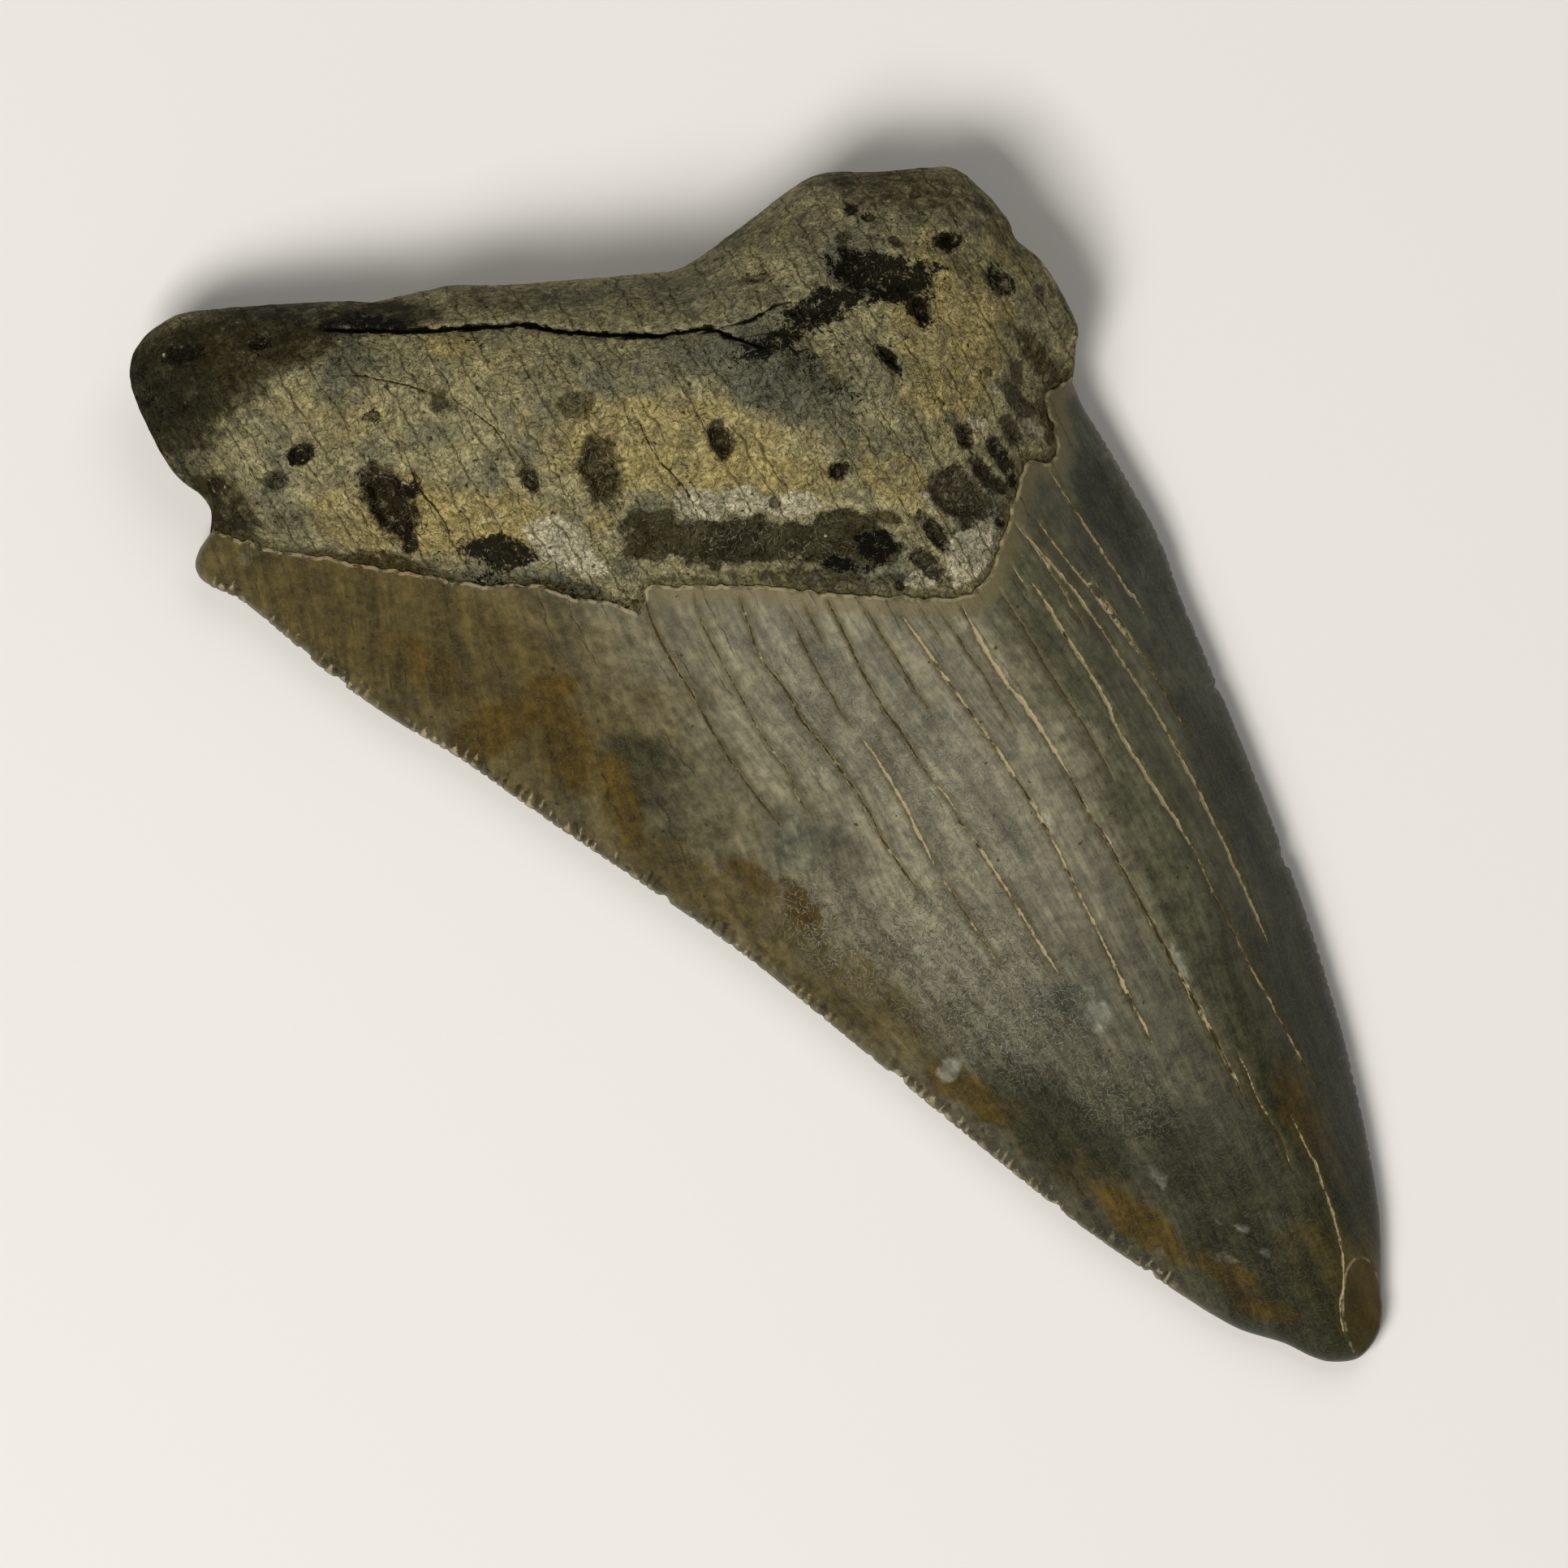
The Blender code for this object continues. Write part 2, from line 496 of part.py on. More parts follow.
def tooth_object():
    """The closed solid, set on the surface with its box centred on the origin."""
    tooth = Tooth()
    rim_heights = tooth.rim(tooth.outline)
    mesh = bmesh.new()
    rim = [mesh.verts.new((x, y, z)) for (x, y), z in zip(tooth.outline, rim_heights)]
    lines = lingual_lines(tooth)
    lingual = parted_face_mesh(tooth.outline, lingual_points(tooth, lines), lines)
    add_face(mesh, rim, lingual, tooth.lingual_height, True)
    lines = labial_lines(tooth)
    labial = face_mesh(tooth.outline, labial_points(tooth, lines), lines)
    add_face(mesh, rim, labial, tooth.labial_height, False)
    bmesh.ops.remove_doubles(mesh, verts=mesh.verts, dist=MERGE_GAP)

    low = Vector([min(vertex.co[axis] for vertex in mesh.verts) for axis in range(3)])
    high = Vector([max(vertex.co[axis] for vertex in mesh.verts) for axis in range(3)])
    base = Vector(((low.x + high.x) / 2, (low.y + high.y) / 2, low.z))
    scale = MM * TOOTH_LENGTH / (high.y - low.y)
    for vertex in mesh.verts:
        vertex.co = (vertex.co - base) * scale
    data = bpy.data.meshes.new("tooth")
    mesh.to_mesh(data)
    mesh.free()
    data.shade_smooth()
    data.set_sharp_from_angle(angle=math.radians(40))
    tooth_piece = bpy.data.objects.new("tooth", data)
    bpy.context.scene.collection.objects.link(tooth_piece)
    return tooth_piece


def fossil_material():
    """Dull mineral yellow-grey of the buried root, the tooth's plainest colour."""
    material = bpy.data.materials.new("fossil_tooth")
    material.use_nodes = True
    shader = material.node_tree.nodes["Principled BSDF"]
    shader.inputs["Base Color"].default_value = ROOT_COLOUR
    shader.inputs["Roughness"].default_value = ROOT_ROUGHNESS
    shader.inputs["Metallic"].default_value = 0.0
    return material


def main():
    for item in list(bpy.data.objects):
        bpy.data.objects.remove(item, do_unlink=True)
    tooth_piece = tooth_object()
    tooth_piece.data.materials.append(fossil_material())


main()
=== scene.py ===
import math

import bpy
import numpy as np
from mathutils import Matrix, Vector, noise
from mathutils.geometry import delaunay_2d_cdt


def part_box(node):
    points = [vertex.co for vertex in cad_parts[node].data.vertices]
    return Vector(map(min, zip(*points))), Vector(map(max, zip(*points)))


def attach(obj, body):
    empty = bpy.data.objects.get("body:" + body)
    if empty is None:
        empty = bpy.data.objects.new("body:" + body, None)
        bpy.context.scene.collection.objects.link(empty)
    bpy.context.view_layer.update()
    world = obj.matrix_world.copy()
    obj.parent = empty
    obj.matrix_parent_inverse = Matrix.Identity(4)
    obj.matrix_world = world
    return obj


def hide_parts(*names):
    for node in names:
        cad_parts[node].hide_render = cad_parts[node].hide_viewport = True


bl_info = {
    "name": "Fossil Megalodon Tooth",
    "version": (1, 0, 0),
    "blender": (4, 5, 0),
    "location": "3D View > Sidebar > Fossil Tooth",
    "description": "Builds a fossil shark tooth with a pitted root and a cracked, serrated enamel crown",
    "category": "Add Mesh",
}

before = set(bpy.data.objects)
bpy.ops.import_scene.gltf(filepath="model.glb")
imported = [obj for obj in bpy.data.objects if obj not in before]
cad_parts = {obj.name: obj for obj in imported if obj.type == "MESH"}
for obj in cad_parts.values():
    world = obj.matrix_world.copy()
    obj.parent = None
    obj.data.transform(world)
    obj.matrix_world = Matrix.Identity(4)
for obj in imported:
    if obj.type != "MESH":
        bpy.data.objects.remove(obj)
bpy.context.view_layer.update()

MM = 0.001

# The shape, in millimetres. x and y are seen from above, with the tip at low y, and a third number is a
# height. The lists are drawn for a tooth 105.2 mm long, the size of the frame's tooth.

# The outline, anticlockwise from the right shoulder over the short lobe, the notch and the long lobe.
ROOT_OUTLINE = [
    (28.6, 16.7), (29.8, 18.4), (30.9, 20.2), (31.0, 24.7), (30.2, 27.3), (30.4, 28.8), (30.0, 31.2),
    (29.1, 33.6), (27.6, 34.7), (24.7, 36.0), (21.1, 38.0), (18.5, 38.3), (14.5, 37.8), (9.1, 37.4),
    (6.5, 38.4), (-2.0, 42.5), (-5.5, 44.5), (-10.7, 46.3), (-13.0, 47.7), (-21.5, 52.0), (-24.2, 52.6),
    (-26.8, 52.0), (-28.3, 50.0), (-28.9, 46.0), (-28.8, 43.0), (-28.0, 40.6), (-28.1, 39.4),
    (-28.9, 38.3),
]
LEFT_EDGE = [
    (-28.9, 38.3), (-30.3, 37.6), (-31.1, 36.6), (-30.8, 35.2), (-29.4, 33.1), (-28.0, 29.3),
    (-26.7, 25.4), (-24.4, 20.4), (-21.8, 15.7), (-19.0, 9.5), (-14.9, 0.9), (-11.5, -6.6),
    (-9.1, -12.9), (-2.0, -32.0), (1.3, -39.5), (3.7, -44.4),
]
TIP = [
    (3.7, -44.4), (5.1, -46.7), (7.2, -49.0), (8.4, -50.8), (9.5, -51.9), (11.3, -52.6), (13.2, -51.9),
    (14.3, -50.7), (15.0, -49.3), (16.8, -46.2),
]
RIGHT_EDGE = [
    (16.8, -46.2), (18.0, -43.7), (19.9, -38.6), (21.9, -32.1), (23.8, -24.2), (25.5, -14.8),
    (26.7, -6.8), (27.6, 0.0), (28.4, 4.4), (28.5, 12.1), (28.4, 14.8), (28.6, 16.7),
]
RIM_HEIGHTS = [
    (-31.0, 36.6, 3.0), (-28.0, 29.3, 2.2), (-21.8, 15.7, 1.8), (-11.5, -6.6, 1.5), (-2.0, -32.0, 1.3),
    (7.2, -49.0, 1.2), (11.3, -52.6, 1.4), (16.8, -46.2, 1.4), (21.9, -32.1, 1.5), (26.7, -6.8, 1.8),
    (28.4, 8.0, 2.4), (28.5, 14.8, 3.4), (29.8, 18.6, 6.0), (31.0, 24.0, 7.5), (28.0, 34.5, 7.5),
    (18.5, 38.3, 8.5), (9.1, 37.4, 9.0), (-2.0, 42.5, 9.0), (-13.0, 47.7, 8.0), (-24.2, 52.6, 6.5),
    (-28.9, 46.0, 6.2), (-28.1, 40.0, 4.8),
]
ENAMEL_EDGE = [
    (-33.0, 40.0), (-28.9, 38.4), (-27.2, 36.5), (-24.5, 34.0), (-21.4, 31.4), (-16.9, 27.5),
    (-14.0, 25.1), (-11.1, 23.5), (-9.1, 21.3), (-6.9, 19.4), (-5.8, 18.0), (-4.9, 18.6), (-4.3, 19.2),
    (-0.8, 17.3), (2.3, 15.4), (5.7, 12.9), (10.0, 10.0), (13.8, 7.7), (15.9, 7.7), (17.4, 8.6),
    (19.2, 10.2), (21.3, 12.1), (22.7, 13.4), (23.9, 12.8), (25.0, 12.9), (25.8, 14.4), (26.2, 16.1),
    (27.2, 17.0), (33.0, 16.4),
]
LABIAL_ENAMEL_EDGE = [
    (-33.0, 41.0), (-28.6, 38.6), (-22.0, 36.2), (-14.0, 32.6), (-5.0, 28.6), (3.0, 25.2), (11.0, 22.0),
    (18.0, 20.0), (24.0, 19.2), (33.0, 17.6),
]
RIDGE = [
    (11.3, -52.6, 1.9), (11.5, -51.0, 3.0), (11.8, -48.5, 4.4), (12.5, -44.0, 6.3), (13.3, -37.0, 8.8),
    (13.8, -27.0, 11.5), (14.0, -16.0, 13.7), (14.0, -4.0, 15.4), (13.6, 6.0, 16.5), (13.0, 17.0, 17.6),
    (12.0, 38.0, 19.0),
]
ROOT_SPOTS = [
    (-25, 47, 11.0), (-21, 48, 13.5), (-24, 41, 12.0), (-15, 42, 16.8), (-18, 37, 15.0), (-6, 38, 19.8),
    (-10, 32, 18.0), (1, 33, 22.0), (-2, 27, 20.0), (9, 30, 22.3), (6, 23, 20.6), (13, 24, 21.8),
    (17, 19, 20.2), (19, 28, 19.0), (18, 33, 18.5), (23, 34, 16.0), (27, 31, 15.0), (28, 26, 14.6),
    (23, 21, 17.5), (28, 21, 12.8), (-10, 45, 15.5), (-2, 40, 17.8), (7, 36, 18.8), (-12, 29, 15.4),
    (2, 19, 17.6), (11, 12, 17.2), (18, 13, 16.8), (24, 16, 13.2), (-22, 34, 10.8), (16, 10, 16.6),
]
LABIAL_SPOTS = [
    (-25, 49, 3.0), (-18, 42, -1.4), (-10, 38, 0.4), (-3, 33, 1.0), (8, 28, 1.0), (15, 33, 0.8),
    (21, 28, -1.4), (28, 20, 1.6), (-17, 32, 0.9), (-3, 21, 1.1), (13, 16, 0.9), (-23, 30, 1.6),
    (24, 13, 1.8), (3, 10, 0.3), (8, 1, -0.5), (11, -11, -0.7), (11, -24, -0.7), (11, -36, -0.4),
    (11, -45, 0.3), (-13, 16, 1.1), (-7, 3, 0.9), (24, -6, 1.4), (21, -23, 1.0),
]
ENAMEL_STEP = 0.45
LABIAL_ENAMEL_STEP = 0.3
BLADE_EDGE = 0.5
CROWN_RIM_REACH = 0.7
ROOT_RIM_REACH = 6.5
CROWN_SECTION_POWER = 1.12
FLOOR_SOFTNESS = 0.4

# Pits: x, y, length, width, angle of the length from +X in degrees, depth, and how dark their dirt is.
ROOT_PITS = [
    (-16.8, 33.4, 6.2, 3.2, 92, 1.8, 0.9), (-20.4, 39.5, 2.1, 1.6, 160, 1.0, 1.0),
    (-22.9, 39.0, 1.8, 1.5, 150, 0.9, 0.6), (-7.6, 29.8, 2.0, 1.1, 90, 0.9, 0.8),
    (-3.0, 27.9, 5.2, 2.6, 74, 1.1, 0.45), (5.1, 25.4, 2.7, 1.6, 80, 1.4, 0.8),
    (11.0, 19.5, 1.7, 1.4, 170, 1.0, 0.8), (18.0, 24.2, 2.4, 0.9, 102, 0.9, 1.0),
    (27.3, 25.4, 2.3, 1.5, 90, 0.9, 0.6), (25.8, 29.4, 1.9, 1.1, 150, 0.9, 0.9),
    (21.7, 26.3, 2.2, 1.5, 90, 1.0, 0.8), (20.1, 29.9, 6.8, 3.6, 140, 1.2, 0.2),
    (15.6, 30.0, 5.1, 2.3, 170, 0.9, 0.1), (-24.1, 49.9, 2.8, 1.5, 150, 0.6, 0.5),
    (-12.5, 27.1, 6.4, 1.9, 146, 0.6, 0.1),
]
BRANCH_CELLS = [
    (17.5, 13.6, 5.0, 3.3, 112, 0.8, 0.9), (19.9, 13.9, 3.4, 1.4, 102, 0.9, 0.95),
    (21.4, 14.8, 2.8, 1.3, 92, 0.9, 1.0), (22.9, 15.9, 2.4, 1.3, 88, 0.8, 0.8),
    (24.4, 17.6, 3.6, 1.3, 101, 0.8, 0.8), (19.9, 17.1, 1.8, 1.2, 75, 0.8, 0.9),
    (14.7, 12.4, 3.7, 1.2, 95, 0.8, 1.0), (13.2, 10.8, 3.2, 1.3, 110, 0.8, 0.95),
]
CELL_SQUARENESS = 3.2
# Smaller pits, which the frame's tooth is too coarse to show.
SMALL_PITS = [
    (-26.9, 40.8, 1.5, 1.1, 90, 0.7, 0.9), (-19.1, 47.6, 1.6, 1.0, 150, 0.7, 1.0),
    (-14.7, 39.1, 1.5, 0.9, 150, 0.5, 0.6), (21.3, 34.7, 1.2, 0.8, 150, 0.6, 0.9),
    (10.7, 10.5, 0.9, 0.7, 100, 0.5, 1.0), (21.3, 12.9, 1.1, 0.8, 60, 0.6, 1.0),
    (19.0, 10.7, 1.0, 0.6, 120, 0.5, 1.0), (21.8, 33.6, 0.9, 0.6, 150, 0.5, 0.9),
    (12.9, 33.9, 2.8, 0.5, 160, 0.5, 0.6), (-10.2, 37.6, 1.6, 0.8, 120, 0.4, 0.6),
    (-2.2, 32.6, 2.4, 2.0, 150, 0.4, 0.3), (29.6, 23.2, 1.6, 0.9, 80, 0.5, 0.7),
    (-25.9, 46.6, 0.9, 0.7, 20, 0.5, 1.0), (25.6, 33.4, 1.3, 0.9, 20, 0.5, 0.6),
    (22.6, 31.2, 1.4, 0.7, 120, 0.5, 0.8), (-17.0, 30.3, 1.6, 1.1, 40, 1.6, 1.0),
    (25.4, 19.2, 2.4, 1.0, 75, 0.7, 0.7),
]
# The dark band between root and crown, as a loop around it.
BAND_LOOP = [
    (-3.5, 24.1), (-2.7, 24.5), (-1.6, 24.0), (-0.3, 22.9), (0.4, 21.9), (2.1, 21.1), (3.2, 20.7),
    (3.8, 20.0), (5.1, 19.4), (5.6, 18.7), (7.0, 17.7), (7.8, 17.5), (8.8, 17.5), (10.2, 16.9),
    (11.3, 15.7), (11.7, 14.7), (12.0, 13.8), (12.1, 12.6), (10.8, 12.2), (8.7, 12.6), (7.2, 13.7),
    (6.2, 14.9), (3.0, 16.7), (0.3, 18.2), (-1.9, 20.2), (-3.5, 20.8), (-4.4, 22.3),
]
BAND_DEPTH = 0.6

# Cracks: points, half width, depth, and how far pale mineral fills them, from 0 (open) to 1 (full).
ROOT_CRACKS = [
    ([(-15.4, 46.7), (-12.1, 44.5), (-7.0, 41.5), (-2.9, 39.5), (-0.7, 37.6), (2.1, 35.7), (4.5, 34.1),
      (7.1, 33.0), (8.6, 32.2), (9.5, 30.9), (11.7, 28.5)], 0.3, 1.3, 0.0),
    ([(8.6, 32.2), (11.0, 31.5), (13.4, 31.4), (15.0, 30.6)], 0.14, 0.5, 0.0),
    ([(9.5, 30.9), (12.2, 29.8), (14.4, 28.0)], 0.1, 0.3, 0.0),
    ([(-12.1, 44.5), (-13.4, 47.0), (-14.6, 47.3)], 0.12, 0.4, 0.0),
    ([(-16.0, 43.2), (-13.4, 41.4), (-10.6, 38.6), (-9.6, 37.2)], 0.08, 0.25, 0.0),
    ([(-9.6, 37.9), (-7.9, 34.0), (-7.9, 31.0)], 0.06, 0.2, 0.0),
    ([(-13.8, 37.0), (-14.5, 33.5), (-14.2, 30.2), (-15.0, 28.2)], 0.06, 0.2, 0.0),
    ([(1.0, 30.4), (0.8, 26.6), (1.4, 23.4), (0.9, 20.6)], 0.06, 0.2, 0.0),
]
CROWN_CRACKS = [
    ([(-4.7, 19.1), (-5.2, 17.6), (-5.5, 14.8), (-5.5, 9.8), (-5.5, 6.0), (-4.8, 0.0)], 0.1, 0.2, 0.05),
    ([(-1.7, 17.6), (-2.3, 15.4), (-2.7, 8.4), (-2.5, 3.1), (-2.7, 1.4), (-2.4, -1.0)], 0.055, 0.1, 0.3),
    ([(0.9, 15.8), (0.0, 11.4), (0.3, 7.9), (0.2, 5.9), (0.8, 1.7), (1.0, -2.3), (0.8, -4.4), (1.2, -9.2)],
     0.08, 0.16, 0.3),
    ([(3.2, 13.8), (2.8, 6.4), (3.1, 3.0)], 0.04, 0.08, 0.1),
    ([(3.1, 3.4), (3.4, -0.8), (3.3, -3.9), (3.0, -8.1)], 0.07, 0.12, 0.95),
    ([(3.0, -7.6), (3.2, -12.1), (3.4, -17.0)], 0.04, 0.08, 0.4),
    ([(6.0, 12.6), (5.5, 5.8), (5.7, 1.4), (5.9, -2.8)], 0.1, 0.14, 0.15),
    ([(5.9, -2.2), (6.2, -4.4), (6.1, -6.0), (6.5, -10.0), (6.5, -14.4), (6.7, -19.0)], 0.07, 0.14, 0.65),
    ([(9.8, 8.9), (10.4, 2.1), (11.0, -8.2), (9.8, -26.3)], 0.08, 0.16, 0.6),
    ([(13.8, 7.3), (13.7, 5.1), (13.7, 0.9), (14.0, -0.7), (14.3, -7.3)], 0.1, 0.2, 0.9),
    ([(14.3, -6.6), (14.1, -9.5), (14.2, -13.3), (13.7, -28.2), (13.4, -32.5)], 0.11, 0.26, 0.4),
    ([(19.8, 10.5), (21.1, 3.7), (21.7, -5.4), (21.5, -13.2), (20.4, -24.3)], 0.07, 0.14, 0.8),
    ([(18.6, 6.4), (18.9, 5.0), (19.1, -3.3), (18.8, -6.2), (19.2, -16.3)], 0.09, 0.16, 0.75),
    ([(19.2, -15.6), (18.6, -21.9), (18.2, -34.8)], 0.05, 0.1, 0.5),
    ([(23.9, 12.6), (24.4, 2.7), (24.7, 1.7), (24.6, -0.5)], 0.06, 0.12, 0.7),
    ([(21.3, 10.1), (22.1, 3.6), (22.8, -2.2)], 0.045, 0.1, 0.8),
    ([(20.1, 9.9), (20.4, 2.0), (20.2, 0.5)], 0.04, 0.1, 0.4),
    ([(18.2, 8.2), (18.3, 5.5)], 0.05, 0.1, 0.9),
    ([(12.2, 8.4), (12.6, 3.0), (12.7, -2.6)], 0.035, 0.08, 0.0),
    ([(16.6, 7.0), (16.7, 1.8), (16.9, -3.4), (16.8, -9.0)], 0.035, 0.08, 0.1),
    ([(7.9, 11.4), (8.0, 6.2), (8.2, 1.2)], 0.04, 0.08, 0.0),
    ([(4.5, 13.4), (4.2, 9.0)], 0.035, 0.08, 0.0),
    ([(11.2, 9.2), (11.4, 5.0)], 0.035, 0.08, 0.0),
    ([(14.6, -29.1), (14.5, -31.2), (14.2, -32.9), (14.2, -36.0), (13.7, -38.9)], 0.04, 0.1, 0.5),
    ([(15.7, -34.8), (15.4, -38.1), (15.4, -39.3), (14.2, -44.5), (12.9, -47.4), (11.9, -48.6),
      (10.9, -51.2)], 0.055, 0.14, 0.75),
    ([(22.6, 5.0), (23.0, -3.0), (23.0, -9.0)], 0.035, 0.08, 0.5),
]
LABIAL_CRACKS = [
    ([(-9.0, 29.6), (-7.6, 20.0), (-5.2, 8.0), (-3.6, -2.0)], 0.12, 0.2, 0.2),
    ([(2.0, 25.0), (3.0, 14.0), (4.6, 2.0), (5.6, -12.0), (6.4, -20.0)], 0.14, 0.2, 0.5),
    ([(13.4, 20.6), (14.0, 8.0), (14.2, -6.0), (13.6, -22.0), (12.8, -34.0)], 0.16, 0.22, 0.4),
    ([(20.4, 18.8), (20.6, 6.0), (19.8, -8.0), (18.4, -18.0)], 0.12, 0.18, 0.7),
    ([(-18.0, 33.6), (-17.0, 24.0), (-14.2, 14.0)], 0.1, 0.16, 0.2),
    ([(8.0, 22.6), (8.8, 12.0), (9.6, 0.0)], 0.09, 0.14, 0.3),
]
CRACK_TAPER = 2.5
SLAB_DROP = 0.16
TIP_CHIP = [(13.4, -46.8), (14.4, -46.3), (15.2, -46.7), (15.3, -48.0), (14.8, -49.7), (13.6, -51.6),
            (12.3, -52.4), (11.2, -52.3), (11.4, -50.4), (12.3, -48.3)]
TIP_CHIP_DEPTH = 0.3

# Stains: x, y, length, width, angle, strength. Those of the root and of the crown differ in colour.
BLACK_STAINS = [
    (20.6, 29.6, 8.5, 4.0, 140, 1.0), (15.7, 29.7, 7.4, 2.8, 170, 0.9),
    (11.9, 29.3, 6.8, 2.0, 174, 0.75), (13.1, 26.4, 8.5, 2.8, 114, 0.4),
    (21.7, 26.3, 2.6, 1.8, 90, 1.0), (18.0, 24.2, 2.8, 1.2, 102, 1.0), (25.8, 29.4, 2.5, 1.4, 150, 1.0),
    (21.3, 34.7, 1.4, 1.0, 150, 0.8), (21.8, 33.7, 1.0, 0.7, 150, 0.8), (27.5, 25.3, 2.8, 1.9, 90, 0.7),
    (-12.0, 26.6, 6.0, 2.2, 146, 1.0), (-13.7, 25.5, 3.4, 1.3, 150, 0.6),
    (10.4, 13.6, 4.4, 2.6, 60, 0.5), (-20.4, 39.5, 2.4, 1.7, 160, 1.0),
    (-22.9, 39.0, 1.8, 1.5, 150, 0.4), (-19.2, 47.6, 2.0, 1.2, 150, 0.9),
    (-24.1, 49.9, 4.0, 2.0, 150, 0.7), (7.9, 13.8, 2.4, 1.0, 140, 1.0),
    (-12.1, 45.1, 8.5, 1.5, 148, 0.8), (-8.6, 20.9, 8.5, 1.4, 140, 0.5),
    (10.6, 13.8, 3.6, 2.6, 140, 0.9), (11.0, 19.5, 1.9, 1.5, 170, 0.9),
    (-28.1, 48.2, 9.1, 3.4, 60, 0.35), (-14.7, 39.1, 1.7, 1.1, 150, 0.5),
    (-6.1, 39.8, 3.4, 1.1, 130, 0.4), (12.9, 33.9, 3.4, 1.4, 160, 0.4),
    (17.9, 34.2, 2.8, 0.8, 150, 0.4), (24.1, 28.3, 2.3, 1.0, 140, 0.6),
    (-15.3, 33.6, 1.6, 2.4, 60, 0.9), (-16.6, 31.0, 1.6, 1.2, 60, 0.9), (19.9, 17.0, 1.6, 1.1, 60, 0.6),
]
BROWN_STAINS = [
    (-16.8, 33.4, 6.2, 3.7, 88, 1.0), (-3.0, 27.9, 6.8, 4.0, 74, 0.8), (-2.2, 32.6, 4.5, 3.2, 150, 0.6),
    (-7.6, 29.8, 2.6, 1.5, 90, 0.9), (5.1, 25.4, 3.2, 1.9, 80, 0.9), (-26.9, 40.8, 2.0, 1.9, 90, 0.9),
    (-10.2, 37.8, 4.5, 2.5, 120, 0.6), (-2.0, 22.0, 4.6, 3.4, 145, 0.5),
    (10.4, 14.0, 5.0, 4.0, 130, 0.6), (-19.5, 30.3, 8.5, 1.9, 142, 0.8),
    (-20.5, 47.6, 18.8, 6.2, 152, 0.45), (12.4, 15.0, 2.6, 1.4, 110, 0.8),
    (24.9, 34.1, 9.7, 3.4, 140, 0.5), (27.2, 19.6, 6.0, 2.0, 100, 0.8), (25.6, 15.0, 3.4, 1.4, 70, 0.7),
    (-24.0, 36.2, 4.5, 2.3, 130, 0.5), (6.0, 14.2, 16.0, 1.0, 147, 0.5),
    (26.4, 14.8, 2.0, 1.0, 60, 0.7), (-28.8, 39.3, 3.4, 3.4, 150, 0.5),
    (-15.1, 23.3, 14.8, 2.3, 140, 0.4),
]
OCHRE_STAINS = [
    (-13.7, 30.1, 19.0, 5.4, 144, 0.9), (2.7, 24.6, 21.6, 4.4, 146, 0.75),
    (-4.8, 36.4, 9.7, 3.4, 140, 0.3), (22.5, 22.0, 12.5, 6.1, 30, 0.7),
    (-7.6, 41.0, 4.0, 2.5, 150, 0.7), (-5.1, 24.7, 3.4, 2.3, 150, 0.6),
    (-18.0, 40.8, 11.4, 5.1, 150, 0.35), (29.2, 26.9, 6.8, 3.4, 90, 0.3),
    (15.3, 16.3, 6.8, 2.4, 100, 0.6), (13.4, 17.5, 7.8, 2.4, 105, 0.7), (7.6, 20.6, 6.0, 4.0, 110, 0.6),
    (22.0, 24.0, 16.0, 8.0, 60, 0.6), (2.0, 27.6, 22.0, 6.0, 146, 0.6),
    (-14.6, 33.0, 5.0, 1.6, 110, 0.8), (-26.0, 39.4, 5.0, 2.4, 120, 0.5),
    (-19.6, 33.6, 9.0, 4.0, 130, 0.6), (22.4, 12.6, 4.0, 1.4, 60, 0.4),
]
GREY_STAINS = [
    (3.2, 37.5, 27.3, 3.0, 152, 0.4), (10.6, 26.9, 13.8, 5.4, 130, 0.95),
    (12.6, 22.2, 9.2, 3.4, 100, 0.6), (3.6, 18.6, 8.1, 3.0, 144, 0.8),
    (-12.0, 24.0, 13.6, 2.8, 144, 0.8), (-1.1, 34.6, 12.8, 3.5, 150, 0.45),
    (-13.5, 42.8, 9.1, 3.4, 140, 0.5), (17.1, 20.5, 6.2, 2.4, 100, 0.4),
    (-27.6, 49.1, 10.2, 6.8, 60, 0.5), (-24.3, 38.0, 3.4, 3.4, 150, 0.3),
    (-22.9, 39.0, 1.9, 1.6, 150, 0.9), (8.6, 30.0, 9.0, 3.0, 150, 0.6),
    (19.6, 18.2, 2.4, 1.2, 106, 0.8), (-3.0, 27.9, 4.4, 2.0, 74, 0.7),
]
PALE_STAINS = [
    (1.9, 22.2, 3.9, 2.2, 146, 1.0), (4.6, 20.9, 2.4, 2.0, 147, 1.0), (7.3, 19.1, 3.6, 2.2, 148, 0.9),
    (-8.1, 25.1, 5.2, 4.0, 110, 0.7), (-6.8, 22.6, 3.0, 2.0, 140, 0.8),
    (-10.6, 28.6, 5.7, 2.3, 140, 0.3), (16.4, 9.9, 5.0, 3.0, 25, 0.9), (17.9, 10.6, 3.4, 2.0, 100, 0.6),
    (21.2, 17.4, 2.0, 1.3, 100, 0.7), (-10.5, 33.8, 6.8, 3.4, 150, 0.2),
    (18.7, 25.8, 5.1, 2.8, 20, 0.3), (19.2, 36.7, 5.7, 2.3, 160, 0.3), (15.4, 14.4, 3.0, 1.0, 100, 0.5),
    (23.4, 19.0, 1.6, 1.0, 150, 0.6), (12.2, 9.9, 2.6, 1.6, 150, 0.7), (24.4, 15.4, 3.4, 1.0, 95, 0.5),
    (3.2, 21.6, 8.0, 1.4, 147, 0.9),
]
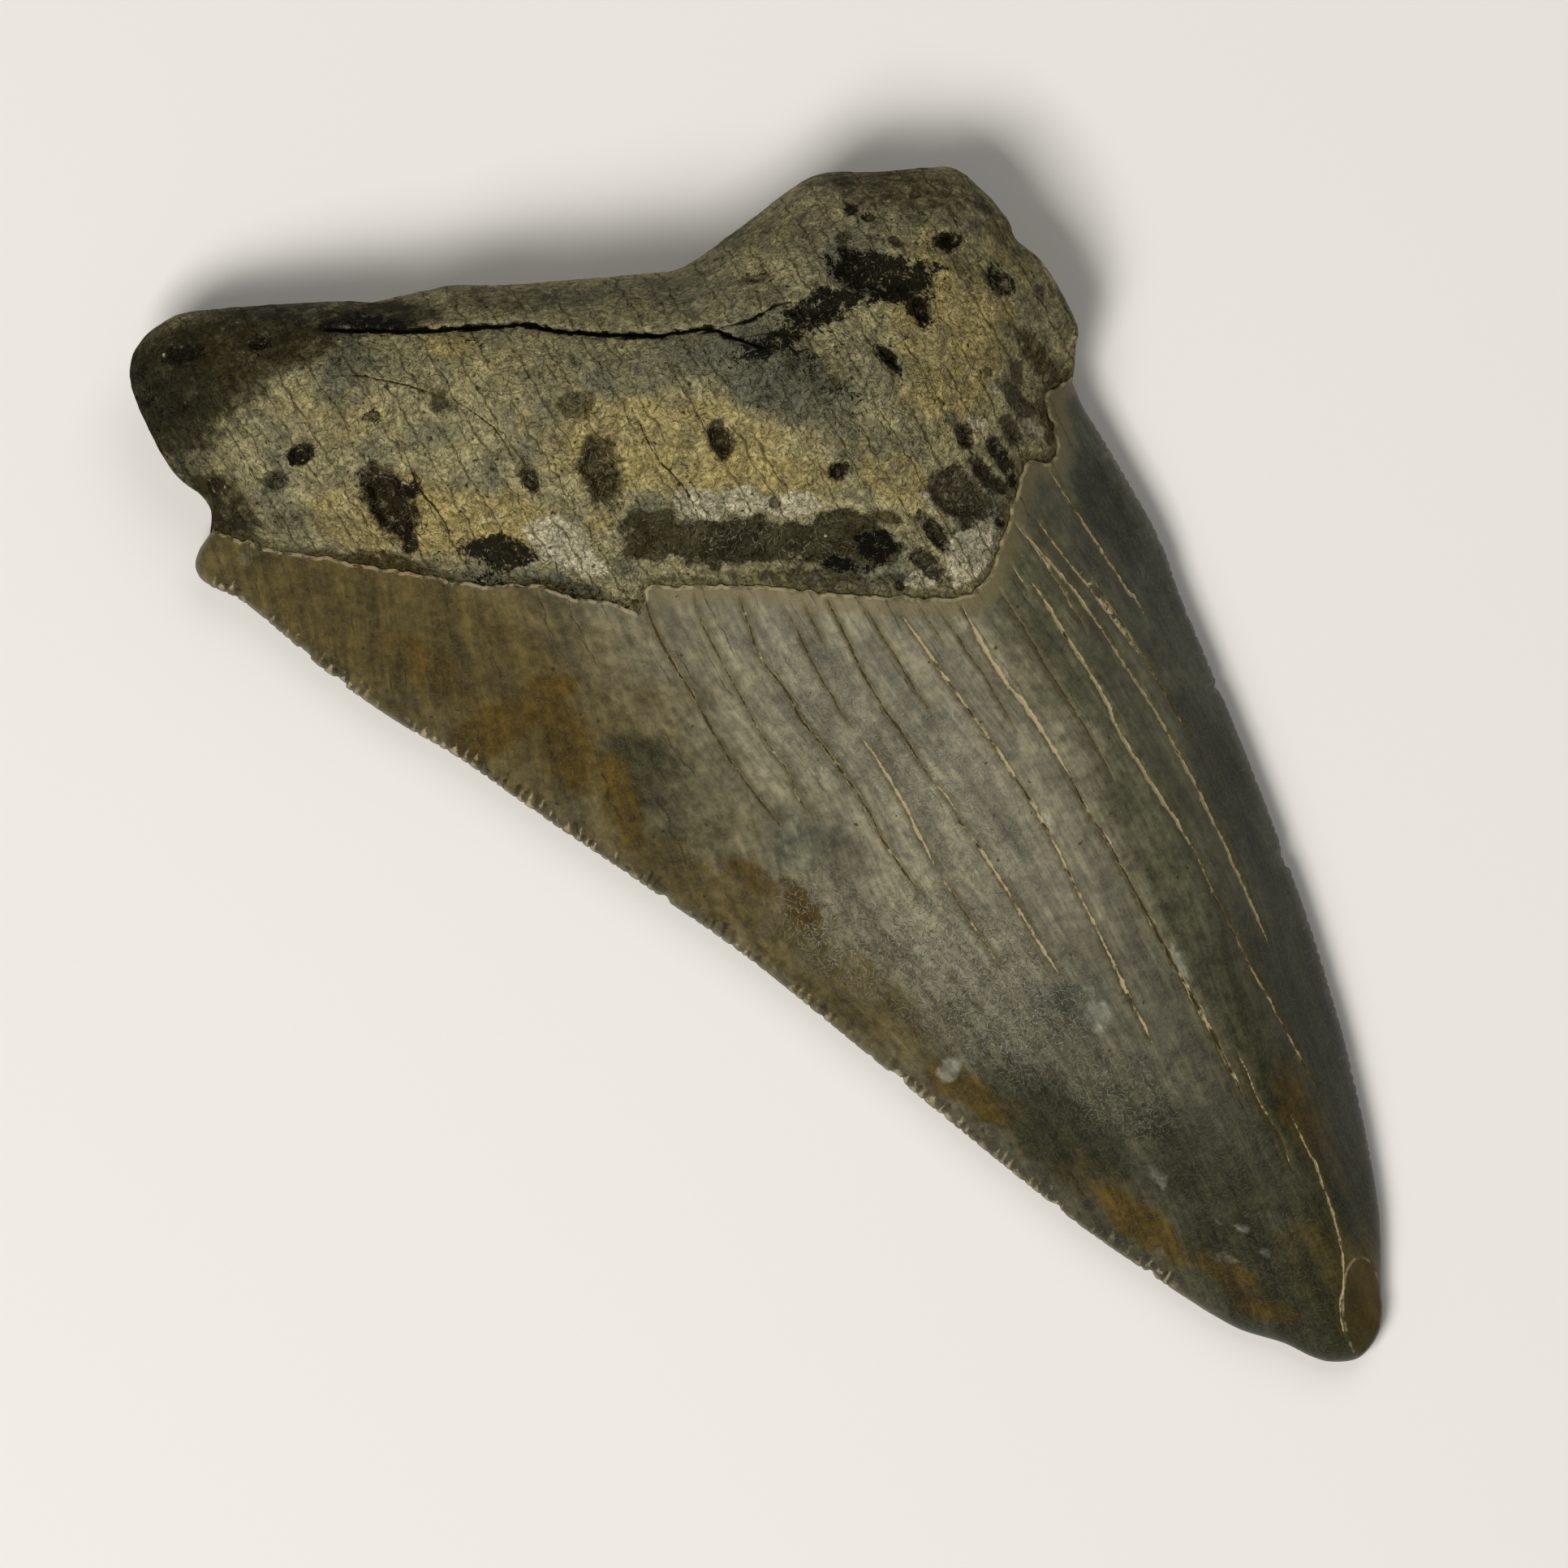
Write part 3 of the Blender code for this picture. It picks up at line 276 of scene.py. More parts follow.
# Where the whole root is darkened: by dirt, and by painted shade at the long lobe's end and along the rims.
ROOT_DIRT_AND_SHADE = [
    (-24.6, 48.4, 13.0, 9.0, 150, 1.0), (-18.4, 48.0, 13.0, 6.0, 152, 0.95),
    (-11.6, 45.6, 12.0, 2.6, 150, 0.85), (-26.9, 43.4, 5.0, 5.0, 90, 0.6),
    (-3.0, 41.6, 12.0, 1.8, 150, 0.45), (24.6, 34.6, 13.0, 5.0, 140, 0.55),
    (15.5, 36.6, 9.0, 3.0, 165, 0.35), (29.6, 28.0, 8.0, 2.6, 95, 0.5),
    (24.2, 28.6, 7.0, 4.0, 130, 0.45), (13.0, 27.0, 9.0, 3.6, 125, 0.5),
    (-20.6, 30.6, 14.0, 1.8, 142, 0.6), (3.0, 17.2, 18.0, 1.6, 146, 0.4),
    (27.6, 18.4, 6.0, 3.0, 90, 0.5), (-9.6, 22.4, 8.0, 1.6, 142, 0.6),
    (-27.4, 39.6, 8.0, 4.6, 120, 0.9), (-26.6, 47.0, 9.0, 9.0, 90, 1.0),
    (6.0, 13.9, 17.0, 1.2, 147, 0.55), (26.6, 15.6, 5.0, 1.6, 70, 0.7),
]
# Where fine frosting makes the enamel glitter: pale frost strands, which here also paint the enamel's
# sheen.
CROWN_FROST_AND_SHEEN = [
    (1.6, -15.5, 19.0, 11.0, 112, 1.0), (6.0, -4.0, 20.0, 9.0, 95, 0.6),
    (-4.3, -8.8, 12.0, 7.0, 114, 0.8), (2.0, 6.0, 14.0, 9.0, 95, 0.5),
    (6.0, -27.0, 10.0, 6.0, 110, 0.5),
]
CROWN_BROWN = [
    (-23.0, 29.0, 25.0, 8.5, 116, 0.9), (-17.1, 19.9, 23.9, 9.7, 112, 0.8),
    (-11.3, 11.8, 12.5, 11.4, 105, 0.5), (-7.4, -9.6, 23.9, 6.2, 110, 0.7),
    (-11.9, -0.3, 18.2, 4.0, 114, 0.8), (0.6, -30.0, 22.0, 3.4, 112, 0.7),
    (16.6, -36.0, 12.0, 4.0, 85, 0.6), (13.0, -47.0, 12.0, 7.0, 110, 0.9),
]
CROWN_ORANGE = [
    (-19.3, 16.2, 6.1, 3.4, 15, 1.0), (-15.3, 16.2, 6.8, 3.2, 10, 1.0),
    (-14.8, 12.6, 7.2, 3.8, 75, 1.0), (-13.6, 7.5, 7.2, 3.0, 75, 0.9), (-6.4, -5.4, 4.6, 2.0, 90, 0.9),
    (-8.3, -2.1, 5.7, 2.3, 120, 0.6), (-3.1, -22.3, 8.0, 2.4, 114, 0.7),
    (2.9, -36.8, 9.1, 2.4, 110, 0.9), (16.3, -35.4, 6.8, 3.0, 85, 0.6),
    (13.9, -48.8, 7.0, 2.6, 80, 0.35), (-19.2, 29.7, 6.8, 1.4, 142, 0.7),
    (7.4, -46.4, 6.0, 2.0, 130, 0.5), (-20.6, 22.6, 9.0, 3.0, 112, 0.5),
    (6.2, -42.6, 6.0, 2.6, 120, 0.6),
]
CROWN_DARK = [
    (-10.9, 8.0, 8.5, 6.2, 114, 0.75), (-11.0, 4.4, 12.5, 3.4, 114, 0.5),
    (1.2, -27.5, 14.8, 6.2, 114, 0.9), (-1.1, -24.5, 6.8, 4.0, 120, 0.7),
    (8.4, -35.4, 18.2, 6.8, 105, 0.7), (8.4, -43.2, 14.8, 8.0, 110, 0.85),
    (15.4, -36.9, 10.2, 3.4, 85, 0.6), (19.5, -25.4, 12.5, 3.4, 85, 0.6),
    (24.2, -5.1, 12.5, 3.4, 88, 0.45), (26.2, 8.3, 11.4, 3.4, 88, 0.7),
    (15.1, -41.9, 11.4, 2.8, 82, 0.5), (10.0, -48.4, 9.0, 7.0, 120, 0.9),
    (23.4, -12.0, 16.0, 3.6, 84, 0.7),
]
CROWN_BLUE = [
    (25.0, -16.1, 23.9, 4.0, 78, 0.7), (27.8, 2.0, 14.8, 2.8, 84, 0.6),
    (20.4, -35.2, 17.0, 2.8, 70, 0.7), (7.1, -20.7, 6.2, 4.0, 150, 0.7), (5.4, 2.0, 17.0, 9.1, 90, 0.3),
    (11.4, 9.0, 9.1, 3.4, 140, 0.5), (-3.6, -1.9, 9.1, 5.1, 120, 0.6),
]
CROWN_PALE = [
    (-3.2, -20.3, 2.5, 1.9, 15, 0.8), (7.5, -22.3, 2.8, 2.5, 150, 0.6),
    (8.0, -20.3, 1.4, 1.1, 150, 0.5), (5.4, -34.3, 2.8, 1.4, 90, 0.6), (8.8, -40.2, 1.7, 0.9, 120, 0.6),
    (9.2, -42.4, 1.4, 0.9, 120, 0.6), (6.7, -41.6, 2.3, 1.1, 130, 0.5),
    (7.5, -39.1, 1.1, 0.8, 150, 0.5), (14.3, -22.0, 2.8, 0.8, 88, 1.0), (11.2, -9.3, 2.8, 0.6, 90, 0.9),
    (9.1, 1.1, 1.4, 0.5, 90, 0.9), (-27.7, 35.4, 2.0, 1.1, 90, 0.5), (2.6, -39.1, 2.3, 1.4, 160, 0.4),
    # A broad pale spot of painted sheen over the frosted zone.
    (1.6, -15.5, 14.8, 8.0, 114, 0.35),
]

# Lines that the growth of the enamel follows, each with its distance across the crown.
GROWTH_LINES = [
    (-27.0, [(-28.0, 35.5), (-29.2, 31.5)]),
    (-19.0, [(-20.5, 30.0), (-23.5, 23.0)]),
    (-12.0, [(-13.5, 24.5), (-16.0, 14.0), (-18.0, 9.0)]),
    (-8.0, [(-9.0, 20.0), (-10.0, 8.0), (-11.5, -4.0)]),
    (-4.7, [(-4.7, 18.6), (-4.9, 7.5), (-4.3, 1.3), (-4.0, -16.0)]),
    (1.0, [(1.1, 16.0), (0.9, 5.4), (0.7, -9.6), (2.2, -28.0)]),
    (6.2, [(6.1, 12.6), (6.2, 1.6), (6.9, -13.6), (6.6, -34.0)]),
    (10.2, [(9.8, 8.7), (10.9, -2.6), (10.4, -19.5), (9.4, -38.0)]),
    (14.4, [(14.1, 7.2), (15.0, -2.6), (14.1, -18.7), (12.0, -40.0)]),
    (20.4, [(20.0, 9.9), (20.6, -3.3), (20.0, -20.4), (16.0, -38.0)]),
    (25.0, [(25.0, 11.0), (24.6, -6.0), (22.6, -22.0)]),
]

# Fineness of the surface, in millimetres.
ROOT_OUTLINE_STEP = 0.4
EDGE_STEP = 0.16
TIP_STEP = 0.25
PLAIN_EDGE_STEP = 0.8
CRACK_STEP = 0.45
LEDGE_STEP = 0.22
LEDGE_HALF_WIDTH = 0.06
LABIAL_GRID = 0.55
ROOT_RING_DEPTHS = (0.03, 0.1, 0.2, 0.34, 0.52, 0.74, 1.0, 1.3)
EDGE_RING_DEPTHS = (0.16, 0.34, 0.56, 0.84, 1.2)
FEATURE_REACH = 4.0

# How the surface is roughened and where its pores may lie, in millimetres.
RAGGED_ENAMEL = 0.22
RAGGED_LABIAL_ENAMEL = 0.24
LOOP_STEP = 0.3
LUMP_SIZE = 3.0
LUMP_HEIGHT = 0.45
GRAIN_SIZE = 1.1
GRAIN_HEIGHT = 0.1
LINGUAL_PORES = 14
LABIAL_PORES = 60
PORE_RIM_GAP = 1.5
PORE_ENAMEL_GAP = 0.9
CRACK_WANDER = 0.1
CRACK_JITTER = 0.08
STAIN_SHIFT = 0.55
STAIN_JITTER = 0.35
LABIAL_STAIN_SHIFT = (2.5, -3.0)


def smooth_run(points, step):
    """A curve through the points, in equal steps of about the given length."""
    points = np.array(points, float)
    ends = np.vstack([2 * points[0] - points[1], points, 2 * points[-1] - points[-2]])
    t = np.linspace(0.0, 1.0, 20, endpoint=False)[:, None]
    pieces = []
    for a, b, c, d in zip(ends, ends[1:], ends[2:], ends[3:]):
        pieces.append(0.5 * (2 * b + (c - a) * t + (2 * a - 5 * b + 4 * c - d) * t ** 2
                             + (3 * b - 3 * c + d - a) * t ** 3))
    line = np.vstack(pieces + [points[-1:]])
    run = run_along(line)
    stops = np.linspace(0.0, run[-1], max(1, round(run[-1] / step)) + 1)
    return np.column_stack([np.interp(stops, run, line[:, axis]) for axis in range(2)])


def run_along(line):
    """Distance along a line at each of its points."""
    return np.append(0.0, np.cumsum(np.linalg.norm(np.diff(line, axis=0), axis=1)))


def inward(line):
    """Unit normals to the left of a line, which point into the tooth along its outline."""
    along = np.gradient(line, axis=0)
    along /= np.linalg.norm(along, axis=1)[:, None]
    return np.column_stack([-along[:, 1], along[:, 0]])


def smoothstep(low, high, value):
    t = np.clip((value - low) / (high - low), 0.0, 1.0)
    return t * t * (3.0 - 2.0 * t)


def grain(points, size, seed):
    """Smooth noise from -1 to 1 at each point, with features of about the given size."""
    return np.array([noise.noise((x / size, y / size, seed)) for x, y in points.tolist()])


def nearest(points, line, reach=None):
    """Distance to a line, the nearest place on it, and how far along it that place is.

    With a reach, only points that may lie within it are measured, and the rest are infinitely far.
    """
    gap = np.full(len(points), np.inf)
    foot = np.zeros_like(points)
    run = np.zeros(len(points))
    if reach is None:
        chosen = np.arange(len(points))
    else:
        close = (points > line.min(axis=0) - reach) & (points < line.max(axis=0) + reach)
        chosen = np.flatnonzero(close.all(axis=1))
    some = points[chosen]
    best = np.full(len(some), np.inf)
    place = np.zeros_like(some)
    along = np.zeros(len(some))
    for start, end, begun in zip(line, line[1:], run_along(line)):
        side = end - start
        length = math.hypot(*side)
        t = np.clip((some - start) @ side / max(length ** 2, 1e-12), 0.0, 1.0)
        off = some - start - t[:, None] * side
        distance = np.hypot(off[:, 0], off[:, 1])
        closer = distance < best
        best[closer] = distance[closer]
        place[closer] = (start + t[:, None] * side)[closer]
        along[closer] = begun + t[closer] * length
    gap[chosen], foot[chosen], run[chosen] = best, place, along
    return gap, foot, run


def inside(points, loop):
    """Which points lie inside a closed loop."""
    x, y = points[:, 0], points[:, 1]
    result = np.zeros(len(points), bool)
    for (x0, y0), (x1, y1) in zip(loop, np.roll(loop, -1, axis=0)):
        if y0 != y1:
            crosses = (y0 > y) != (y1 > y)
            result ^= crosses & (x < x0 + (y - y0) * (x1 - x0) / (y1 - y0))
    return result


def taper(points, line):
    """Falls to zero towards both ends of a line."""
    first = np.linalg.norm(points - line[0], axis=1)
    last = np.linalg.norm(points - line[-1], axis=1)
    return np.clip(np.minimum(first, last) / CRACK_TAPER, 0.0, 1.0)


def off_centre(points, spot, squareness=2.0):
    """Distance from the middle of an oval or squarish spot, as a share of its half size: 1 on its rim."""
    x, y, length, width, angle = spot[:5]
    turn = math.radians(angle)
    along = (points[:, 0] - x) * math.cos(turn) + (points[:, 1] - y) * math.sin(turn)
    across = (points[:, 1] - y) * math.cos(turn) - (points[:, 0] - x) * math.sin(turn)
    shares = np.abs(along / (length / 2)) ** squareness + np.abs(across / (width / 2)) ** squareness
    return shares ** (1.0 / squareness)


def signed_gap(points, loop, farthest):
    """Distance to a closed loop, positive inside it."""
    gap, _, _ = nearest(points, loop, FEATURE_REACH)
    return np.where(inside(points, loop[:-1]), 1.0, -1.0) * np.minimum(gap, farthest)


class SpotSurface:
    """The smooth surface of a thin plate bent through spot heights."""

    def __init__(self, spots):
        spots = np.array(spots, float)
        self.places = spots[:, :2]
        count = len(spots)
        system = np.zeros((count + 3, count + 3))
        system[:count, :count] = self.bend(self.places)
        system[:count, count:] = np.column_stack([np.ones(count), self.places])
        system[count:, :count] = system[:count, count:].T
        self.weights = np.linalg.solve(system, np.append(spots[:, 2], np.zeros(3)))

    def bend(self, points):
        gap = np.linalg.norm(points[:, None] - self.places[None], axis=2)
        return gap ** 2 * np.log(np.maximum(gap, 1e-9))

    def __call__(self, points):
        return np.column_stack([self.bend(points), np.ones(len(points)), points]) @ self.weights


class ToothShape:
    """The outline, the two faces and every mark on them, as functions of x and y in millimetres."""

    def __init__(self, seed):
        root = smooth_run(ROOT_OUTLINE, ROOT_OUTLINE_STEP)
        left = smooth_run(LEFT_EDGE, EDGE_STEP)
        tip = smooth_run(TIP, TIP_STEP)
        right = smooth_run(RIGHT_EDGE, EDGE_STEP)
        self.outline = np.vstack([root[:-1], left[:-1], tip[:-1], right[:-1]])
        self.root_run = root
        self.edge_run = np.vstack([left, tip[1:-1], right])
        plain_left = smooth_run(LEFT_EDGE, PLAIN_EDGE_STEP)
        plain_right = smooth_run(RIGHT_EDGE, PLAIN_EDGE_STEP)
        self.cutting_edges = (plain_left, plain_right)
        plain = np.vstack([root[:-1], plain_left[:-1], tip[:-1:2], plain_right[:-1]])
        self.closed_outline = np.vstack([plain, plain[:1]])
        lowest = tip[:, 1].argmin()
        self.left_side = np.vstack([left[:-1], tip[:lowest + 1]])[::-1]
        self.right_side = np.vstack([tip[lowest:-1], right])
        self.rim = SpotSurface(RIM_HEIGHTS)
        self.root = SpotSurface(ROOT_SPOTS)
        self.labial_face = SpotSurface(LABIAL_SPOTS)
        self.across = SpotSurface([(x, y, run) for run, line in GROWTH_LINES for x, y in line])
        self.enamel_edge = self.ragged(smooth_run(ENAMEL_EDGE, LEDGE_STEP), RAGGED_ENAMEL)
        self.labial_enamel_edge = self.ragged(smooth_run(LABIAL_ENAMEL_EDGE, LEDGE_STEP),
                                              RAGGED_LABIAL_ENAMEL)
        self.band = smooth_run(BAND_LOOP + BAND_LOOP[:1], LOOP_STEP)
        self.chip = smooth_run(TIP_CHIP + TIP_CHIP[:1], LOOP_STEP)
        self.cracks = [self.crack(*crack) for crack in ROOT_CRACKS + CROWN_CRACKS]
        self.labial_cracks = [self.crack(*crack) for crack in LABIAL_CRACKS]
        self.pits = ROOT_PITS + BRANCH_CELLS + SMALL_PITS
        self.pits += self.pores(self.enamel_edge, seed, LINGUAL_PORES)
        self.labial_pits = self.pores(self.labial_enamel_edge, seed + 1, LABIAL_PORES)

    def ragged(self, line, amount):
        """A chipped line: the smooth one, moved from side to side."""
        coarse = grain(line, 1.1, 11.0)
        fine = grain(line, 0.5, 5.0)
        return line + inward(line) * (amount * (coarse + 0.8 * fine))[:, None]

    def crack(self, points, half_width, depth, filled):
        """A crack's line wanders a little from its drawn points."""
        line = smooth_run(points, CRACK_STEP)
        wander = CRACK_WANDER * grain(line, 2.6, 2.0) + CRACK_JITTER * grain(line, 0.8, 9.0)
        wander *= taper(line, line)
        return line + inward(line) * wander[:, None], half_width, depth, filled

    def pores(self, edge, seed, count):
        """Small pits scattered over the root, most of them drawn out along the tooth."""
        draw = np.random.RandomState(seed)
        low, high = self.closed_outline.min(axis=0), self.closed_outline.max(axis=0)
        places = draw.uniform((low[0], 8.0), high, (12 * count, 2))
        gap, _, _ = nearest(places, self.closed_outline)
        kept = inside(places, self.closed_outline[:-1]) & (gap > PORE_RIM_GAP)
        kept &= self.beyond_enamel(places, edge) > PORE_ENAMEL_GAP
        found = []
        for x, y in places[kept][:count].tolist():
            length = draw.uniform(0.7, 1.4)
            found.append((x, y, length, length * draw.uniform(0.5, 0.9), draw.normal(95.0, 30.0),
                          draw.uniform(0.15, 0.5), draw.uniform(0.2, 0.8)))
        return found

    def beyond_enamel(self, points, edge):
        """Signed distance from the enamel's edge, positive on the root's side."""
        gap, _, _ = nearest(points, edge)
        below = np.array([(edge[-1][0], -200.0), (edge[0][0], -200.0)])
        return np.where(inside(points, np.vstack([edge, below])), -gap, gap)

    def crown_height(self, points):
        """The blade's section: thin at both cutting edges and domed at the ridge."""
        x, y = points[:, 0], points[:, 1]
        ridge_x, ridge_y, ridge_z = np.array(RIDGE).T
        ridge = np.interp(y, ridge_y, ridge_x)
        top = np.interp(y, ridge_y, ridge_z)
        left = np.interp(y, self.left_side[:, 1], self.left_side[:, 0])
        right = np.interp(y, self.right_side[:, 1], self.right_side[:, 0])
        on_left = (x - left) / np.maximum(ridge - left, 1.0)
        on_right = (right - x) / np.maximum(right - ridge, 1.0)
        t = np.clip(np.where(x < ridge, on_left, on_right), 0.0, 1.0)
        edge = np.minimum(self.rim(points) + BLADE_EDGE, top)
        return edge + (top - edge) * np.sin(t * math.pi / 2) ** CROWN_SECTION_POWER

    def pit_marks(self, points, pits):
        """Depth of the pits, how far out in its nearest pit each point is, and how dark that pit is."""
        depth = np.zeros(len(points))
        out = np.full(len(points), 2.0)
        dark = np.zeros(len(points))
        uneven = 0.3 * grain(points, 1.0, 4.0) + 0.12 * grain(points, 0.5, 6.0)
        for pit in pits:
            near = np.flatnonzero(np.abs(points - pit[:2]).max(axis=1) < 1.2 * max(pit[2:4]))
            squareness = CELL_SQUARENESS if pit in BRANCH_CELLS else 2.0
            here = off_centre(points[near], pit, squareness) + uneven[near]
            depth[near] = np.maximum(depth[near], pit[5] * (1.0 - smoothstep(0.45, 1.0, here)))
            chosen = near[here < out[near]]
            out[chosen] = here[here < out[near]]
            dark[chosen] = pit[6]
        return depth, out, dark

    def crack_marks(self, points, cracks):
        """Depth of the cracks, distance to the nearest, its half width there, and how full it is."""
        depth = np.zeros(len(points))
        gap = np.full(len(points), 9.0)
        width = np.zeros(len(points))
        full = np.zeros(len(points))
        for line, half_width, deep, filled in cracks:
            here, foot, _ = nearest(points, line, FEATURE_REACH)
            near = np.flatnonzero(here < gap)
            ends = np.maximum(taper(foot[near], line), 0.02)
            side = 1.0 - np.clip(here[near] / (half_width * ends), 0.0, 1.0)
            depth[near] = np.maximum(depth[near], deep * ends * side)
            gap[near] = here[near]
            width[near] = half_width * ends
            full[near] = filled
        return depth, gap, width, full

    def stain(self, points, spots):
        """Strength of the soft spots of one stain."""
        strength = np.zeros(len(points))
        for spot in spots:
            fall = spot[5] * (1.0 - smoothstep(0.5, 1.3, off_centre(points, spot)))
            strength = np.maximum(strength, fall)
        return strength

    def lingual(self, points):
        """Height of the domed face and its marks, as a height array and a dict of arrays."""
        beyond = self.beyond_enamel(points, self.enamel_edge)
        root_share = smoothstep(-0.5, 3.0, beyond)
        height = self.crown_height(points) * (1.0 - root_share) + self.root(points) * root_share
        on_enamel = 1.0 - smoothstep(-LEDGE_HALF_WIDTH, LEDGE_HALF_WIDTH, beyond)
        height += ENAMEL_STEP * on_enamel
        height += root_share * LUMP_HEIGHT * grain(points, LUMP_SIZE, 7.0 / 3.0)
        height += root_share * GRAIN_HEIGHT * grain(points, GRAIN_SIZE, 3.0)
        pit_depth, pit_out, pit_dark = self.pit_marks(points, self.pits)
        crack_depth, crack_gap, crack_width, crack_full = self.crack_marks(points, self.cracks)
        band_in = signed_gap(points, self.band, 3.0) + 0.25 * grain(points, 1.2, 8.0)
        band = BAND_DEPTH * smoothstep(-0.2, 0.8, band_in)
        height -= np.maximum(np.maximum(pit_depth, crack_depth), band)
        height -= on_enamel * SLAB_DROP * self.slab(points)
        chip_in = signed_gap(points, self.chip, 2.0)
        height -= TIP_CHIP_DEPTH * smoothstep(0.0, 0.4, chip_in)
        edge_gap, foot, run = nearest(points, self.closed_outline)
        rim = self.rim(foot)
        reach = CROWN_RIM_REACH + (ROOT_RIM_REACH - CROWN_RIM_REACH) * root_share
        rise = np.clip(edge_gap / reach, 0.0, 1.0)
        drop = (height - rim) * (1.0 - np.sqrt(1.0 - (1.0 - rise) ** 2))
        height = height - drop
        marks = {
            "beyond": beyond, "pit_out": pit_out, "pit_dark": pit_dark, "crack_gap": crack_gap,
            "crack_width": crack_width, "crack_full": crack_full, "band_in": band_in, "chip_in": chip_in,
        }
        marks.update(self.drape(points, run, drop))
        marks.update(self.stains(points, beyond))
        marks.update(self.edge_marks(points))
        return height, marks

    def drape(self, points, run, drop):
        """The surface laid out flat, so that a pattern isn't drawn out where it drops to the rim."""
        stops = run_along(self.closed_outline)
        at = np.clip(np.searchsorted(stops, run), 0, len(stops) - 1)
        flat = points - inward(self.closed_outline)[at] * drop[:, None]
        return {"drape_x": flat[:, 0], "drape_y": flat[:, 1]}

    def slab(self, points):
        """The slab of enamel left of the first crack, which has sunk a little."""
        line = self.cracks[len(ROOT_CRACKS)][0]
        side = np.interp(points[:, 1], line[::-1, 1], line[::-1, 0]) - points[:, 0]
        near = smoothstep(0.0, 0.15, side) * smoothstep(9.0, 1.0, side)
        return near * smoothstep(1.0, 10.0, points[:, 1])

    def stains(self, points, beyond):
        """The stains of both faces, with painted shade in the root's dirt and painted sheen in the crown's
        frost. The root's and the crown's share six channels.
        """
        pairs = {
            "black": (BLACK_STAINS, CROWN_DARK), "brown": (BROWN_STAINS, CROWN_BROWN),
            "ochre": (OCHRE_STAINS, CROWN_ORANGE), "grey": (GREY_STAINS, CROWN_BLUE),
            "pale": (PALE_STAINS, CROWN_PALE), "wash": (ROOT_DIRT_AND_SHADE, CROWN_FROST_AND_SHEEN),
        }
        shift = np.column_stack([grain(points, 2.6, 31.0), grain(points, 2.6, 47.0)])
        small = np.column_stack([grain(points, 0.9, 13.0), grain(points, 0.9, 17.0)])
        bent = points + STAIN_SHIFT * shift + STAIN_JITTER * small
        on_root = beyond > 0.0
        return {
            name: np.where(on_root, self.stain(bent, root), self.stain(bent, crown))
            for name, (root, crown) in pairs.items()
        }

    def edge_marks(self, points):
        """Where each point is along and inside of the cutting edges."""
        marks = {"edge_run": np.zeros(len(points)), "edge_in": np.full(len(points), 99.0),
                 "edge_x": np.zeros(len(points)), "edge_y": np.zeros(len(points)),
                 "edge_worn": np.zeros(len(points))}
        for begun, line in zip((0.0, 300.0), self.cutting_edges):
            gap, foot, run = nearest(points, line)
            total = run_along(line)[-1]
            here = np.flatnonzero(gap < np.minimum(marks["edge_in"], 3.0))
            normal = inward(line)
            at = np.clip(np.searchsorted(run_along(line), run[here]), 0, len(line) - 1)
            marks["edge_in"][here] = gap[here]
            marks["edge_run"][here] = begun + run[here]
            marks["edge_x"][here] = normal[at, 0]
            marks["edge_y"][here] = normal[at, 1]
            marks["edge_worn"][here] = smoothstep(1.0, 5.0, np.minimum(run[here], total - run[here]))
        return marks

    def labial(self, points):
        """Height of the flat face and its marks. It is level where its spots lie below zero."""
        beyond = self.beyond_enamel(points, self.labial_enamel_edge)
        root_share = smoothstep(-0.5, 3.0, beyond)
        face = self.labial_face(points) + root_share * 0.3 * grain(points, 5.0, 7.0 / 5.0)
        face += LABIAL_ENAMEL_STEP * smoothstep(-LEDGE_HALF_WIDTH, LEDGE_HALF_WIDTH, beyond)
        level = np.where(face > 0.0, face ** 2 / (np.abs(face) + FLOOR_SOFTNESS), 0.0)
        pit_depth, pit_out, pit_dark = self.pit_marks(points, self.labial_pits)
        crack_depth, crack_gap, crack_width, crack_full = self.crack_marks(points, self.labial_cracks)
        edge_gap, foot, run = nearest(points, self.closed_outline)
        rim = self.rim(foot)
        reach = ROOT_RIM_REACH * (0.7 + 0.3 * root_share)
        rise = np.clip(edge_gap / reach, 0.0, 1.0)
        level = np.minimum(level, rim - 0.3) + np.maximum(pit_depth, crack_depth)
        drop = (rim - level) * (1.0 - np.sqrt(1.0 - (1.0 - rise) ** 2))
        height = level + drop
        marks = {
            "beyond": beyond, "pit_out": pit_out, "pit_dark": pit_dark, "crack_gap": crack_gap,
            "crack_width": crack_width, "crack_full": crack_full,
            "band_in": np.full(len(points), -3.0), "chip_in": np.full(len(points), -2.0),
        }
        marks.update(self.drape(points, run, drop))
        marks.update(self.stains(points + LABIAL_STAIN_SHIFT, beyond))
        marks.update(self.edge_marks(points))
        return height, marks


def ring(line, depth, keep_from):
    """Points at one depth inside the outline, without those that crowd at its inner corners."""
    points = line + inward(line) * depth
    gap, _, _ = nearest(points, keep_from)
    return points[gap > 0.9 * depth]


def grid(step, low, high):
    """Points of a triangular grid over a rectangle."""
    rows = []
    for index, y in enumerate(np.arange(low[1], high[1], step * math.sqrt(3) / 2)):
        x = np.arange(low[0] + (index % 2) * step / 2, high[0], step)
        rows.append(np.column_stack([x, np.full_like(x, y)]))
    return np.vstack(rows)


def clear_of_lines(points, lines, gap):
    """The points that keep a gap from every line."""
    for line in lines:
        distance, _, _ = nearest(points, line, 2.0 * gap)
        points = points[distance > gap]
    return points


def stretches(line, shape, margin=0.3):
    """The stretches of a line that lie well inside the outline."""
    gap, _, _ = nearest(line, shape.closed_outline)
    kept = inside(line, shape.closed_outline[:-1]) & (gap > margin)
    breaks = np.flatnonzero(np.diff(kept.astype(int))) + 1
    parts = np.split(line, breaks)
    flags = np.split(kept, breaks)
    return [part for part, flag in zip(parts, flags) if flag[0] and len(part) > 1]


